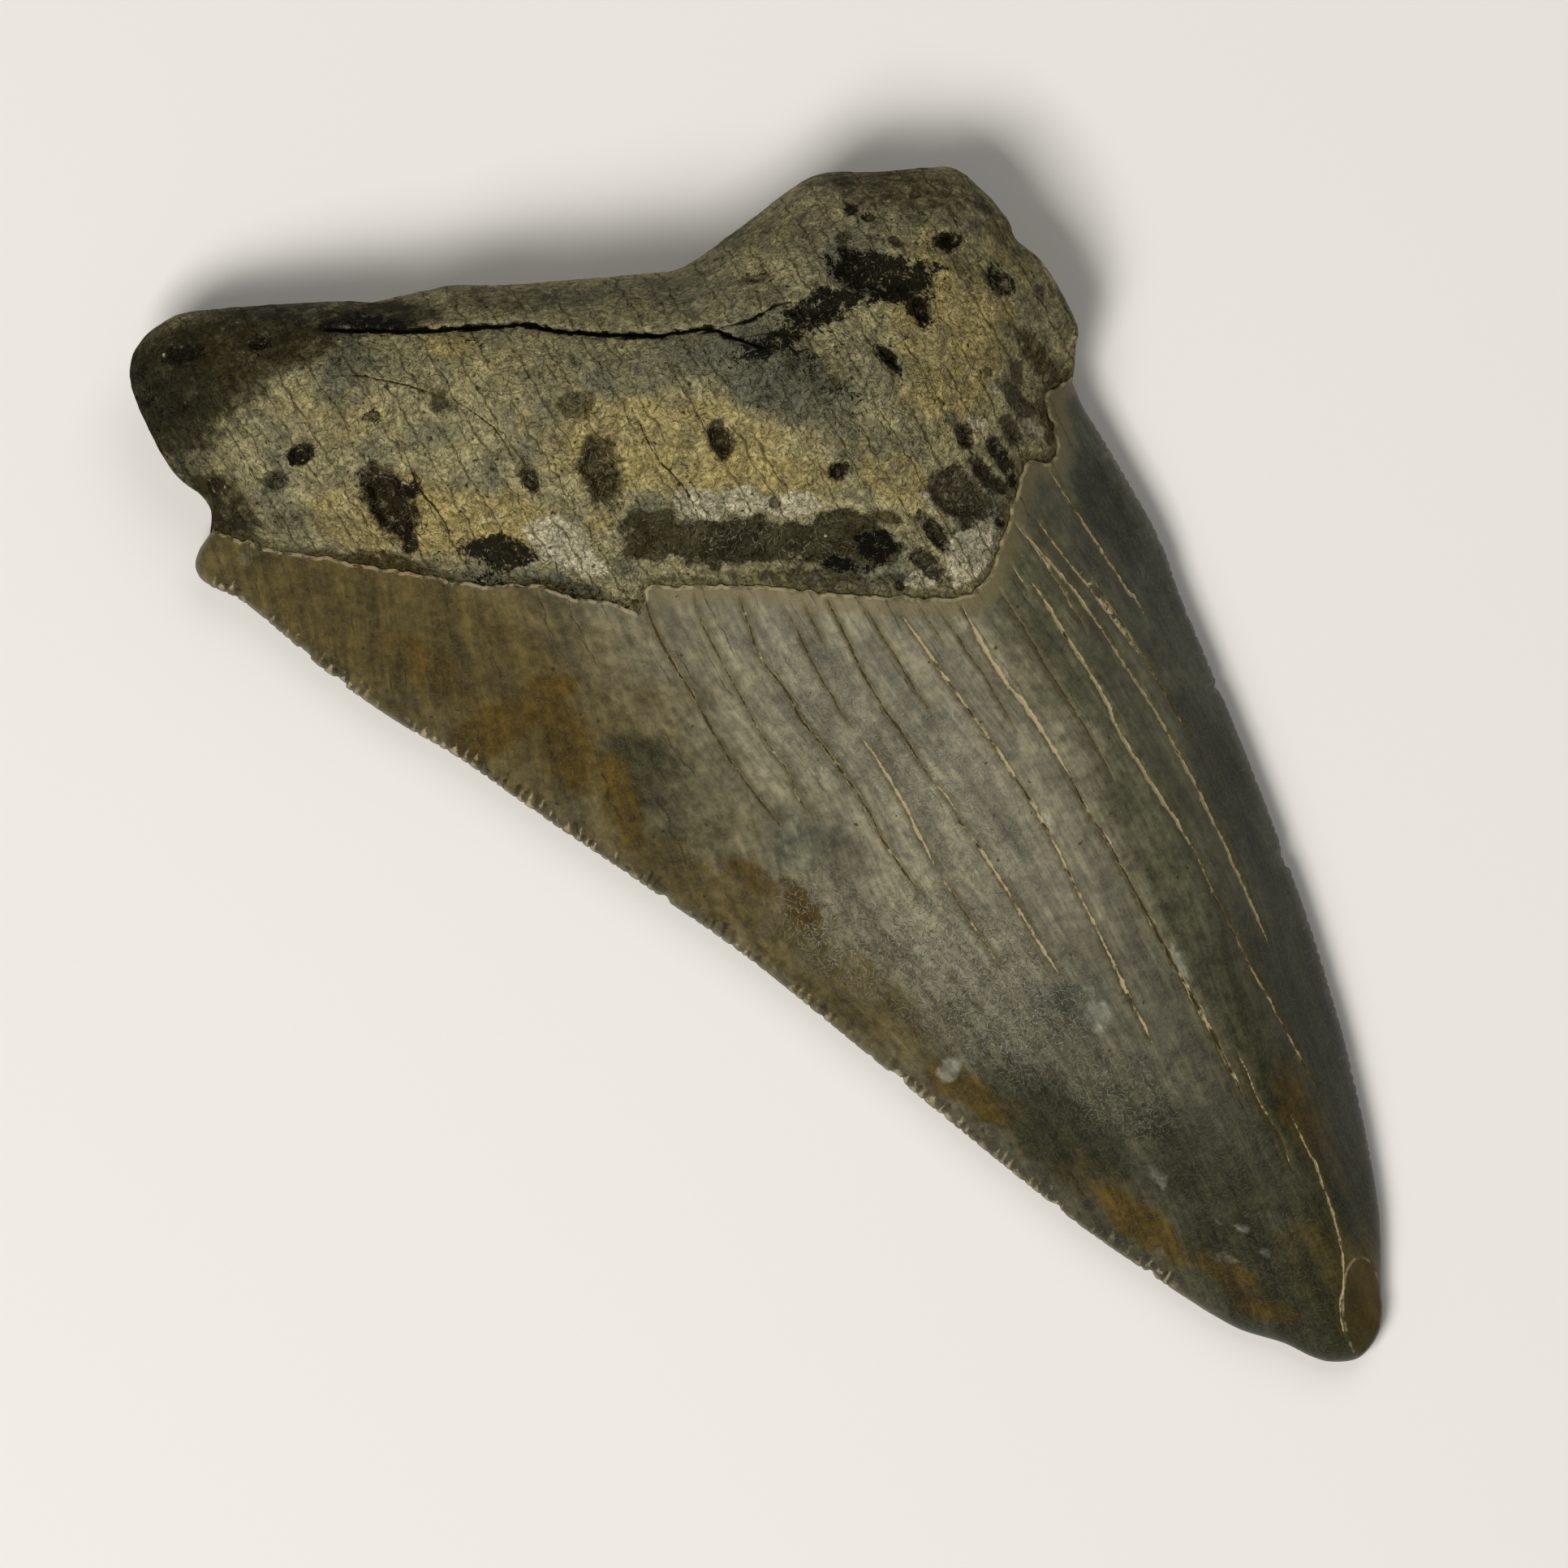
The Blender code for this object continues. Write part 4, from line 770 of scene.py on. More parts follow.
def feature_lines(shape, edge, cracks):
    """Every line that the triangles of a face have to follow."""
    lines = [edge + inward(edge) * offset for offset in (-LEDGE_HALF_WIDTH, LEDGE_HALF_WIDTH)]
    for line, half_width, _, _ in cracks:
        width = half_width * taper(line, line)[:, None]
        lines.extend(line + inward(line) * width * side for side in (-1.0, 0.0, 1.0))
    return [stretch for line in lines for stretch in stretches(line, shape)]


def free_points(shape, edge, lines, root_grid, crown_grid, edge_step):
    """Points between the lines, with rings under the rim and closer together on the root."""
    rings = [ring(shape.root_run, depth, shape.closed_outline) for depth in ROOT_RING_DEPTHS]
    for index, depth in enumerate(EDGE_RING_DEPTHS):
        step = edge_step * (1 + index // 2)
        rings.append(ring(shape.edge_run[::step], depth, shape.closed_outline))
    low, high = shape.closed_outline.min(axis=0), shape.closed_outline.max(axis=0)
    points = []
    for spacing, side, rim_gap in ((root_grid, 1.0, 1.45), (crown_grid, -1.0, 1.4)):
        lattice = grid(spacing, low, high)
        lattice = lattice[inside(lattice, shape.closed_outline[:-1])]
        lattice = lattice[side * shape.beyond_enamel(lattice, edge) > 0.15]
        lattice = clear_of_lines(lattice, [shape.closed_outline], rim_gap)
        points.append(lattice)
    shift = np.array(points[0])
    shift[:, 0] += 0.25 * root_grid * grain(shift, 0.7, 20.0)
    points[0] = shift
    free = np.vstack(rings + points)
    return clear_of_lines(free, lines, 0.14)


def face_mesh(outline, points, lines):
    """Triangles over the outline that follow the lines.

    Gives the corners' places, each corner's number on the outline (or -1), and the triangles.
    """
    count = len(outline)
    edges = [(index, (index + 1) % count) for index in range(count)]
    places = [*outline, *points]
    for line in lines:
        first = len(places)
        places.extend(line)
        edges.extend((index, index + 1) for index in range(first, first + len(line) - 1))
    found, _, triangles, sources, _, _ = delaunay_2d_cdt(
        [Vector(place) for place in np.array(places).tolist()], edges, [], 1, 1e-3)
    numbers = [min((index for index in source if index < count), default=-1) for source in sources]
    return np.array([tuple(place) for place in found]), np.array(numbers), np.array(triangles)


def parted_face_mesh(outline, points, lines):
    """The same, but no triangle has all its corners on the outline, so that two faces never share one."""
    while True:
        places, numbers, triangles = face_mesh(outline, points, lines)
        flat = (numbers[triangles] >= 0).all(axis=1)
        if not flat.any():
            return places, numbers, triangles
        points = np.vstack([points, places[triangles[flat]].mean(axis=1)])


def oriented(triangles, places, upward):
    """Triangles turned so that they face up, or down."""
    a, b, c = (places[triangles[:, corner]] for corner in range(3))
    turn = (b[:, 0] - a[:, 0]) * (c[:, 1] - a[:, 1]) - (b[:, 1] - a[:, 1]) * (c[:, 0] - a[:, 0])
    wrong = (turn > 0.0) != upward
    triangles = triangles.copy()
    triangles[wrong] = triangles[wrong][:, [0, 2, 1]]
    return triangles


def tooth_mesh(settings):
    """The closed tooth before its serrations and weathering, with its marks as attributes."""
    shape = ToothShape(settings.seed)
    rim_count = len(shape.outline)
    root_grid = settings.root_grid / MM
    crown_grid = settings.crown_grid / MM
    vertices = [np.column_stack([shape.outline, shape.rim(shape.outline)])]
    _, rim_marks = shape.lingual(shape.outline)
    marks = [rim_marks]
    triangles = []
    total = rim_count
    faces = [
        (parted_face_mesh, shape.lingual, shape.enamel_edge, shape.cracks,
         root_grid, crown_grid, 1, True),
        (face_mesh, shape.labial, shape.labial_enamel_edge, shape.labial_cracks,
         LABIAL_GRID, LABIAL_GRID, 3, False),
    ]
    for make, height, edge, cracks, root_step, crown_step, edge_step, upward in faces:
        lines = feature_lines(shape, edge, cracks)
        free = free_points(shape, edge, lines, root_step, crown_step, edge_step)
        places, numbers, corners = make(shape.outline, free, lines)
        inner = np.flatnonzero(numbers < 0)
        index = numbers.copy()
        index[inner] = np.arange(total, total + len(inner))
        total += len(inner)
        heights, found = height(places[inner])
        vertices.append(np.column_stack([places[inner], heights]))
        marks.append(found)
        triangles.append(index[oriented(corners, places, upward)])
    vertices = np.vstack(vertices)
    triangles = np.vstack(triangles)

    data = bpy.data.meshes.new("tooth_surface")
    data.from_pydata((vertices * MM).tolist(), [], triangles.tolist())
    for name in marks[0]:
        values = np.concatenate([part[name] for part in marks])
        attribute = data.attributes.new(name, "FLOAT", "POINT")
        attribute.data.foreach_set("value", values.astype(np.float32))
    flow = np.column_stack([shape.across(vertices[:, :2]), vertices[:, 1], vertices[:, 2]])
    attribute = data.attributes.new("flow", "FLOAT_VECTOR", "POINT")
    attribute.data.foreach_set("vector", flow.astype(np.float32).ravel())
    beyond = np.concatenate([part["beyond"] for part in marks])
    is_root = beyond[triangles].mean(axis=1) > 0.6 * LEDGE_HALF_WIDTH
    attribute = data.attributes.new("is_root", "BOOLEAN", "FACE")
    attribute.data.foreach_set("value", is_root)
    data.shade_smooth()
    return data


class Tree:
    """Short forms for wiring a node tree, for shaders and geometry alike."""

    def __init__(self, tree):
        self.tree = tree

    def add(self, kind, inputs=None, **values):
        """A node with its values set. Inputs are given by name, as numbers or as other nodes' sockets."""
        node = self.tree.nodes.new(kind)
        for name, value in values.items():
            setattr(node, name, value)
        for name, value in (inputs or {}).items():
            self.feed(node.inputs[name], value)
        return node

    def feed(self, socket, value):
        if isinstance(value, bpy.types.NodeSocket):
            self.tree.links.new(value, socket)
        else:
            socket.default_value = value

    def math(self, operation, *values, clamp=False):
        node = self.add("ShaderNodeMath", operation=operation, use_clamp=clamp)
        for socket, value in zip(node.inputs, values):
            self.feed(socket, value)
        return node.outputs[0]

    def vector(self, operation, *values):
        node = self.add("ShaderNodeVectorMath", operation=operation)
        for socket, value in zip(node.inputs, values):
            self.feed(socket, value)
        return node.outputs["Value" if operation in ("LENGTH", "DOT_PRODUCT") else "Vector"]

    def scaled(self, vector, factor):
        node = self.add("ShaderNodeVectorMath", {"Scale": factor}, operation="SCALE")
        self.feed(node.inputs[0], vector)
        return node.outputs["Vector"]

    def noise(self, vector, scale, detail=2.0, roughness=0.5):
        node = self.add("ShaderNodeTexNoise", {"Vector": vector, "Scale": scale, "Detail": detail,
                                               "Roughness": roughness})
        return node.outputs[0]

    def step(self, value, low, high, out_low=0.0, out_high=1.0):
        node = self.add("ShaderNodeMapRange", {"Value": value, "From Min": low, "From Max": high,
                                               "To Min": out_low, "To Max": out_high},
                        interpolation_type="SMOOTHSTEP")
        return node.outputs["Result"]

    def mix(self, factor, first, second, blend="MIX"):
        node = self.add("ShaderNodeMix", data_type="RGBA", blend_type=blend)
        self.feed(node.inputs[0], factor)
        self.feed(node.inputs[6], first)
        self.feed(node.inputs[7], second)
        return node.outputs[2]

    def attribute(self, name, output="Fac"):
        return self.add("ShaderNodeAttribute", attribute_name=name).outputs[output]


def new_group(name, kind, inputs, outputs):
    """A node group with named sockets, and its input and output nodes."""
    group = bpy.data.node_groups.new(name, kind)
    for in_out, sockets in (("INPUT", inputs), ("OUTPUT", outputs)):
        for label, socket_kind, default in sockets:
            socket = group.interface.new_socket(label, in_out=in_out, socket_type=socket_kind)
            if default is not None:
                socket.default_value = default
    tree = Tree(group)
    return group, tree, tree.add("NodeGroupInput"), tree.add("NodeGroupOutput")


def serration_tree():
    """Cuts notches and a few nicks into the cutting edges and numbers the serrations along them."""
    group, tree, given, result = new_group(
        "serrations", "GeometryNodeTree",
        [("Geometry", "NodeSocketGeometry", None), ("Pitch", "NodeSocketFloat", 0.8),
         ("Notch Depth", "NodeSocketFloat", 0.1), ("Groove Depth", "NodeSocketFloat", 0.15),
         ("Nick Depth", "NodeSocketFloat", 0.25), ("Reach", "NodeSocketFloat", 1.1),
         ("Seed", "NodeSocketFloat", 1.0)],
        [("Geometry", "NodeSocketGeometry", None)])

    def named(name):
        return tree.add("GeometryNodeInputNamedAttribute", {"Name": name}, data_type="FLOAT").outputs[0]

    run = named("edge_run")
    seat = tree.add("ShaderNodeCombineXYZ", {"X": run, "Y": given.outputs["Seed"]}).outputs[0]
    wander = tree.math("MULTIPLY", tree.math("SUBTRACT", tree.noise(seat, 0.6), 0.5), 1.6)
    turns = tree.math("DIVIDE", tree.math("ADD", run, wander), given.outputs["Pitch"])
    beat = tree.math("ABSOLUTE", tree.math("SUBTRACT", tree.math("FRACT", turns), 0.5))
    notch = tree.step(beat, 0.25, 0.5)
    worn = tree.step(tree.noise(seat, 0.35, 3.0), 0.36, 0.6, 0.1, 1.0)
    worn = tree.math("MULTIPLY", worn, named("edge_worn"))
    inner = tree.math("DIVIDE", named("edge_in"), given.outputs["Reach"])
    fall = tree.math("SUBTRACT", 1.0, inner, clamp=True)
    share = tree.math("MULTIPLY", tree.math("MULTIPLY", notch, worn), fall)
    nick = tree.step(tree.noise(seat, 0.45, 1.0), 0.58, 0.7)
    nick = tree.math("MULTIPLY", nick, given.outputs["Nick Depth"])
    nick = tree.math("MULTIPLY", tree.math("MULTIPLY", nick, fall), named("edge_worn"))
    cut = tree.math("MULTIPLY_ADD", share, given.outputs["Notch Depth"], nick)
    cut = tree.math("MULTIPLY", cut, MM)
    normal = tree.add("GeometryNodeInputNormal").outputs[0]
    up = tree.add("ShaderNodeSeparateXYZ", {"Vector": normal}).outputs["Z"]
    down = tree.math("MULTIPLY", tree.math("MULTIPLY", share, given.outputs["Groove Depth"]), -MM)
    down = tree.math("MULTIPLY", down, tree.math("SIGN", up))
    push = tree.add("ShaderNodeCombineXYZ", {
        "X": tree.math("MULTIPLY", cut, named("edge_x")),
        "Y": tree.math("MULTIPLY", cut, named("edge_y")),
        "Z": tree.math("MULTIPLY", down, tree.step(named("edge_in"), 0.0, 0.3)),
    }).outputs[0]
    shape = tree.add("GeometryNodeSetPosition", {"Geometry": given.outputs["Geometry"], "Offset": push})
    for name, value in (("turns", turns), ("notch", worn)):
        shape = tree.add("GeometryNodeStoreNamedAttribute", {"Geometry": shape.outputs[0], "Name": name},
                         data_type="FLOAT", domain="POINT")
        tree.feed(shape.inputs["Value"], value)
    tree.feed(result.inputs[0], shape.outputs[0])
    return group


def weathering_tree():
    """Roughens the surface along its normals: coarse and fine on the root, slight on the enamel."""
    group, tree, given, result = new_group(
        "weathering", "GeometryNodeTree",
        [("Geometry", "NodeSocketGeometry", None), ("Coarse Size", "NodeSocketFloat", 1.6),
         ("Coarse Height", "NodeSocketFloat", 0.1), ("Fine Size", "NodeSocketFloat", 0.5),
         ("Fine Height", "NodeSocketFloat", 0.06), ("Enamel Share", "NodeSocketFloat", 0.1),
         ("Root Material", "NodeSocketMaterial", None), ("Enamel Material", "NodeSocketMaterial", None)],
        [("Geometry", "NodeSocketGeometry", None)])
    beyond = tree.add("GeometryNodeInputNamedAttribute", {"Name": "beyond"}, data_type="FLOAT").outputs[0]
    is_root = tree.add("GeometryNodeInputNamedAttribute", {"Name": "is_root"},
                       data_type="BOOLEAN").outputs[0]
    place = tree.add("GeometryNodeInputPosition").outputs[0]
    place_mm = tree.scaled(place, 1.0 / MM)
    share = tree.math("ADD", tree.step(beyond, 0.0, 1.0), given.outputs["Enamel Share"], clamp=True)
    lift = None
    kinds = (("Coarse Size", "Coarse Height", 2.0), ("Fine Size", "Fine Height", 1.0))
    for size, height, detail in kinds:
        scale = tree.math("DIVIDE", 1.0, given.outputs[size])
        bump = tree.math("SUBTRACT", tree.noise(place_mm, scale, detail), 0.5)
        bump = tree.math("MULTIPLY", bump, given.outputs[height])
        lift = bump if lift is None else tree.math("ADD", lift, bump)
    lift = tree.math("MULTIPLY", tree.math("MULTIPLY", lift, share), 2.0 * MM)
    height = tree.add("ShaderNodeSeparateXYZ", {"Vector": place_mm}).outputs["Z"]
    lift = tree.math("MULTIPLY", lift, tree.step(height, 0.5, 1.5))
    push = tree.scaled(tree.add("GeometryNodeInputNormal").outputs[0], lift)
    moved = tree.add("GeometryNodeSetPosition", {"Geometry": given.outputs["Geometry"], "Offset": push})
    real = tree.add("GeometryNodeRealizeInstances", {"Geometry": moved.outputs[0]})
    enamel = tree.add("GeometryNodeSetMaterial", {"Geometry": real.outputs[0],
                                                  "Material": given.outputs["Enamel Material"]})
    root = tree.add("GeometryNodeSetMaterial", {"Geometry": enamel.outputs[0], "Selection": is_root,
                                                "Material": given.outputs["Root Material"]})
    tree.feed(result.inputs[0], root.outputs[0])
    return group


def set_inputs(modifier, values):
    """Sets a Geometry Nodes modifier's inputs by their sockets' identifiers."""
    for item in modifier.node_group.interface.items_tree:
        if item.item_type == "SOCKET" and item.in_out == "INPUT" and item.name in values:
            modifier[item.identifier] = values[item.name]


def ragged_group():
    """Turns a soft mask into one with a ragged, natural edge."""
    group, tree, given, result = new_group(
        "ragged_edge", "ShaderNodeTree",
        [("Mask", "NodeSocketFloat", 0.0), ("Place", "NodeSocketVector", None),
         ("Scale", "NodeSocketFloat", 1.0), ("Raggedness", "NodeSocketFloat", 0.6),
         ("Low", "NodeSocketFloat", 0.3), ("High", "NodeSocketFloat", 0.7)],
        [("Mask", "NodeSocketFloat", None)])
    rough = tree.noise(given.outputs["Place"], given.outputs["Scale"], 6.0, 0.72)
    rough = tree.math("SUBTRACT", rough, 0.5)
    moved = tree.math("MULTIPLY_ADD", rough, given.outputs["Raggedness"], given.outputs["Mask"])
    present = tree.step(given.outputs["Mask"], 0.02, 0.2)
    shown = tree.step(moved, given.outputs["Low"], given.outputs["High"])
    tree.feed(result.inputs[0], tree.math("MULTIPLY", shown, present))
    return group


def hairline_group():
    """Fine wavering lines along the second axis of the place, broken into stretches."""
    group, tree, given, result = new_group(
        "hairlines", "ShaderNodeTree",
        [("Place", "NodeSocketVector", None), ("Spacing", "NodeSocketFloat", 1.2),
         ("Stretch", "NodeSocketFloat", 5.0), ("Half Width", "NodeSocketFloat", 0.05),
         ("Waver", "NodeSocketFloat", 0.5), ("Coverage", "NodeSocketFloat", 0.5)],
        [("Mask", "NodeSocketFloat", None)])
    place = given.outputs["Place"]
    split = tree.add("ShaderNodeSeparateXYZ", {"Vector": place})
    bend = tree.math("MULTIPLY", tree.noise(place, 0.7, 3.0, 0.5), given.outputs["Waver"])
    lanes = tree.math("DIVIDE", tree.math("ADD", split.outputs["X"], bend), given.outputs["Spacing"])
    lane = tree.math("FLOOR", lanes)
    chance = tree.add("ShaderNodeTexWhiteNoise", {"W": lane}, noise_dimensions="1D").outputs["Value"]
    centre = tree.math("MULTIPLY_ADD", chance, 0.6, 0.2)
    off = tree.math("ABSOLUTE", tree.math("SUBTRACT", tree.math("FRACT", lanes), centre))
    off = tree.math("MULTIPLY", off, given.outputs["Spacing"])
    seat = tree.add("ShaderNodeCombineXYZ", {
        "X": tree.math("MULTIPLY", lane, 13.7),
        "Y": tree.math("DIVIDE", split.outputs["Y"], given.outputs["Stretch"]),
    }).outputs[0]
    bar = tree.math("MULTIPLY_ADD", given.outputs["Coverage"], -0.5, 0.75)
    broken = tree.math("SUBTRACT", tree.noise(seat, 1.0, 1.0), bar)
    broken = tree.math("MULTIPLY", broken, 12.0, clamp=True)
    uneven = tree.step(tree.noise(place, 1.5, 3.0, 0.6), 0.35, 0.68, 0.35, 1.4)
    ratio = tree.math("DIVIDE", off, tree.math("MULTIPLY", uneven, given.outputs["Half Width"]))
    line = tree.step(ratio, 1.3, 0.5)
    tree.feed(result.inputs[0], tree.math("MULTIPLY", line, broken))
    return group


def fibre_group():
    """Short thin strands, one to a cell, that lie every way and bend a little."""
    group, tree, given, result = new_group(
        "fibres", "ShaderNodeTree",
        [("Place", "NodeSocketVector", None), ("Cell", "NodeSocketFloat", 0.6),
         ("Half Length", "NodeSocketFloat", 0.45), ("Half Width", "NodeSocketFloat", 0.06),
         ("Share", "NodeSocketFloat", 0.7)],
        [("Mask", "NodeSocketFloat", None)])
    warp = tree.add("ShaderNodeTexNoise", {"Vector": given.outputs["Place"], "Scale": 1.3,
                                           "Detail": 2.0}).outputs["Color"]
    warp = tree.scaled(tree.vector("SUBTRACT", warp, (0.5, 0.5, 0.5)), 0.7)
    bent = tree.vector("ADD", given.outputs["Place"], warp)
    scale = tree.math("DIVIDE", 1.0, given.outputs["Cell"])
    cells = tree.add("ShaderNodeTexVoronoi", {"Vector": bent, "Scale": scale}, voronoi_dimensions="2D")
    pick = tree.add("ShaderNodeSeparateXYZ", {"Vector": cells.outputs["Color"]})
    off = tree.vector("SUBTRACT", bent, cells.outputs["Position"])
    angle = tree.math("MULTIPLY", pick.outputs["X"], math.pi)
    turned = tree.add("ShaderNodeVectorRotate", {"Vector": off, "Angle": angle}, rotation_type="Z_AXIS")
    local = tree.add("ShaderNodeSeparateXYZ", {"Vector": turned.outputs[0]})
    bow = tree.math("MULTIPLY", tree.math("MULTIPLY", local.outputs["X"], local.outputs["X"]),
                    tree.math("MULTIPLY_ADD", pick.outputs["Y"], 1.8, -0.9))
    across = tree.math("ABSOLUTE", tree.math("ADD", local.outputs["Y"], bow))
    along = tree.math("ABSOLUTE", local.outputs["X"])
    thin = tree.step(tree.math("DIVIDE", across, given.outputs["Half Width"]), 1.3, 0.4)
    ends = tree.step(tree.math("DIVIDE", along, given.outputs["Half Length"]), 1.0, 0.6)
    chosen = tree.math("LESS_THAN", pick.outputs["Z"], given.outputs["Share"])
    tree.feed(result.inputs[0], tree.math("MULTIPLY", tree.math("MULTIPLY", thin, ends), chosen))
    return group


def crack_group():
    """A crack drawn from the distance to it: a dark gap, its pale filling, and a stain beside it."""
    group, tree, given, result = new_group(
        "crack_lines", "ShaderNodeTree",
        [("Place", "NodeSocketVector", None), ("Gap", "NodeSocketFloat", 9.0),
         ("Half Width", "NodeSocketFloat", 0.1), ("Filled", "NodeSocketFloat", 0.5)],
        [("Dark", "NodeSocketFloat", None), ("Pale", "NodeSocketFloat", None),
         ("Stain", "NodeSocketFloat", None)])
    place = given.outputs["Place"]
    jag = tree.math("SUBTRACT", tree.noise(place, 3.4, 4.0, 0.7), 0.5)
    gap = tree.math("MULTIPLY_ADD", jag, 0.26, given.outputs["Gap"])
    uneven = tree.step(tree.noise(place, 1.2, 3.0), 0.35, 0.7, 0.45, 1.5)
    wide = tree.math("MULTIPLY", given.outputs["Half Width"], uneven)
    ratio = tree.math("DIVIDE", gap, tree.math("MAXIMUM", wide, 0.004))
    present = tree.step(given.outputs["Half Width"], 0.006, 0.022)
    patches = tree.noise(tree.vector("ADD", place, (3.0, 8.0, 40.0)), 0.55, 4.0, 0.65)
    filled = tree.step(tree.math("MULTIPLY_ADD", given.outputs["Filled"], 0.5, patches), 0.68, 0.8)
    core = tree.math("MULTIPLY", tree.step(ratio, 1.0, 0.6), present)
    edge = tree.math("MULTIPLY", tree.step(ratio, 1.7, 0.9), present)
    dark = tree.math("MULTIPLY", core, tree.math("SUBTRACT", 1.0, filled))
    margin = tree.step(tree.noise(place, 1.0, 2.0), 0.48, 0.62, 0.0, 0.7)
    pale = tree.math("MULTIPLY", edge, tree.math("MAXIMUM", filled, margin))
    pale = tree.math("MULTIPLY", pale, tree.math("SUBTRACT", 1.0, dark))
    stain = tree.math("MULTIPLY", tree.step(given.outputs["Gap"], 0.55, 0.08), present)
    for socket, value in zip(result.inputs, (dark, pale, stain)):
        tree.feed(socket, value)
    return group


def serration_mark_group():
    """Dark slots between pale crests, drawn along the cutting edge from the serrations' numbers."""
    group, tree, given, result = new_group(
        "serration_marks", "ShaderNodeTree",
        [("Place", "NodeSocketVector", None), ("Turns", "NodeSocketFloat", 0.0),
         ("Edge In", "NodeSocketFloat", 9.0), ("Strength", "NodeSocketFloat", 0.0)],
        [("Slot", "NodeSocketFloat", None), ("Crest", "NodeSocketFloat", None)])
    place = given.outputs["Place"]
    jag = tree.math("SUBTRACT", tree.noise(place, 1.9, 4.0, 0.7), 0.5)
    turns = tree.math("MULTIPLY_ADD", jag, 0.8, given.outputs["Turns"])
    turns = tree.math("MULTIPLY_ADD", given.outputs["Edge In"], 0.22, turns)
    beat = tree.math("ABSOLUTE", tree.math("SUBTRACT", tree.math("FRACT", turns), 0.5))
    beat = tree.math("MULTIPLY", beat, 2.0)
    length = tree.step(tree.noise(place, 0.7, 3.0, 0.6), 0.35, 0.65, 0.35, 1.1)
    into = tree.math("DIVIDE", given.outputs["Edge In"], length)
    narrow = tree.math("MULTIPLY_ADD", into, 0.4, 0.6)
    slot = tree.math("MULTIPLY", tree.math("SUBTRACT", beat, narrow), 5.0, clamp=True)
    crest = tree.math("SUBTRACT", 0.72, tree.math("MULTIPLY_ADD", into, 0.55, beat))
    crest = tree.math("MULTIPLY", crest, 4.0, clamp=True)
    patches = tree.step(tree.noise(place, 0.45, 4.0, 0.65), 0.42, 0.6, 0.0, 1.0)
    crest = tree.math("MULTIPLY", crest, patches)
    blotch = tree.math("MULTIPLY", tree.step(into, 1.3, 0.9), tree.step(into, 0.2, 0.6))
    between = tree.math("MULTIPLY", tree.math("SUBTRACT", beat, 0.45), 4.0, clamp=True)
    slot = tree.math("MAXIMUM", slot, tree.math("MULTIPLY", blotch, between))
    wear = tree.noise(tree.vector("ADD", place, (9.0, 2.0, 7.0)), 0.4, 3.0, 0.6)
    worn = tree.step(wear, 0.36, 0.54, 0.1, 1.0)
    slot = tree.math("MULTIPLY", slot, worn)
    for socket, value in zip(result.inputs, (slot, crest)):
        tree.feed(socket, tree.math("MULTIPLY", value, given.outputs["Strength"]))
    return group


def speckle_group():
    """Scattered small specks, each in its own cell."""
    group, tree, given, result = new_group(
        "speckles", "ShaderNodeTree",
        [("Place", "NodeSocketVector", None), ("Scale", "NodeSocketFloat", 1.0),
         ("Size", "NodeSocketFloat", 0.2), ("Share", "NodeSocketFloat", 0.3)],
        [("Mask", "NodeSocketFloat", None)])
    warp = tree.add("ShaderNodeTexNoise", {"Vector": given.outputs["Place"], "Scale": 3.0,
                                           "Detail": 2.0}).outputs["Color"]
    place = tree.vector("ADD", given.outputs["Place"], tree.scaled(warp, 0.5))
    cells = tree.add("ShaderNodeTexVoronoi", {"Vector": place, "Scale": given.outputs["Scale"]})
    pick = tree.add("ShaderNodeSeparateXYZ", {"Vector": cells.outputs["Color"]})
    chosen = tree.math("LESS_THAN", pick.outputs["X"], given.outputs["Share"])
    size = tree.math("MULTIPLY", given.outputs["Size"], tree.math("ADD", pick.outputs["Y"], 0.4))
    speck = tree.step(cells.outputs["Distance"], tree.math("MULTIPLY", size, 0.5), size, 1.0, 0.0)
    tree.feed(result.inputs[0], tree.math("MULTIPLY", speck, chosen))
    return group


def grain_group():
    """Mineral grain: a mottle for colour and a finer height for bump."""
    group, tree, given, result = new_group(
        "mineral_grain", "ShaderNodeTree",
        [("Place", "NodeSocketVector", None), ("Mottle Scale", "NodeSocketFloat", 1.0),
         ("Grain Scale", "NodeSocketFloat", 6.0)],
        [("Mottle", "NodeSocketFloat", None), ("Height", "NodeSocketFloat", None)])
    mottle = tree.noise(given.outputs["Place"], given.outputs["Mottle Scale"], 6.0, 0.62)
    fine = tree.noise(given.outputs["Place"], given.outputs["Grain Scale"], 3.0, 0.6)
    tree.feed(result.inputs[0], mottle)
    tree.feed(result.inputs[1], fine)
    return group


def shader_groups():
    """Every shader group of the tooth, by name."""
    makers = (ragged_group, hairline_group, fibre_group, crack_group, serration_mark_group, speckle_group,
              grain_group)
    made = [make() for make in makers]
    return {group.name: group for group in made}


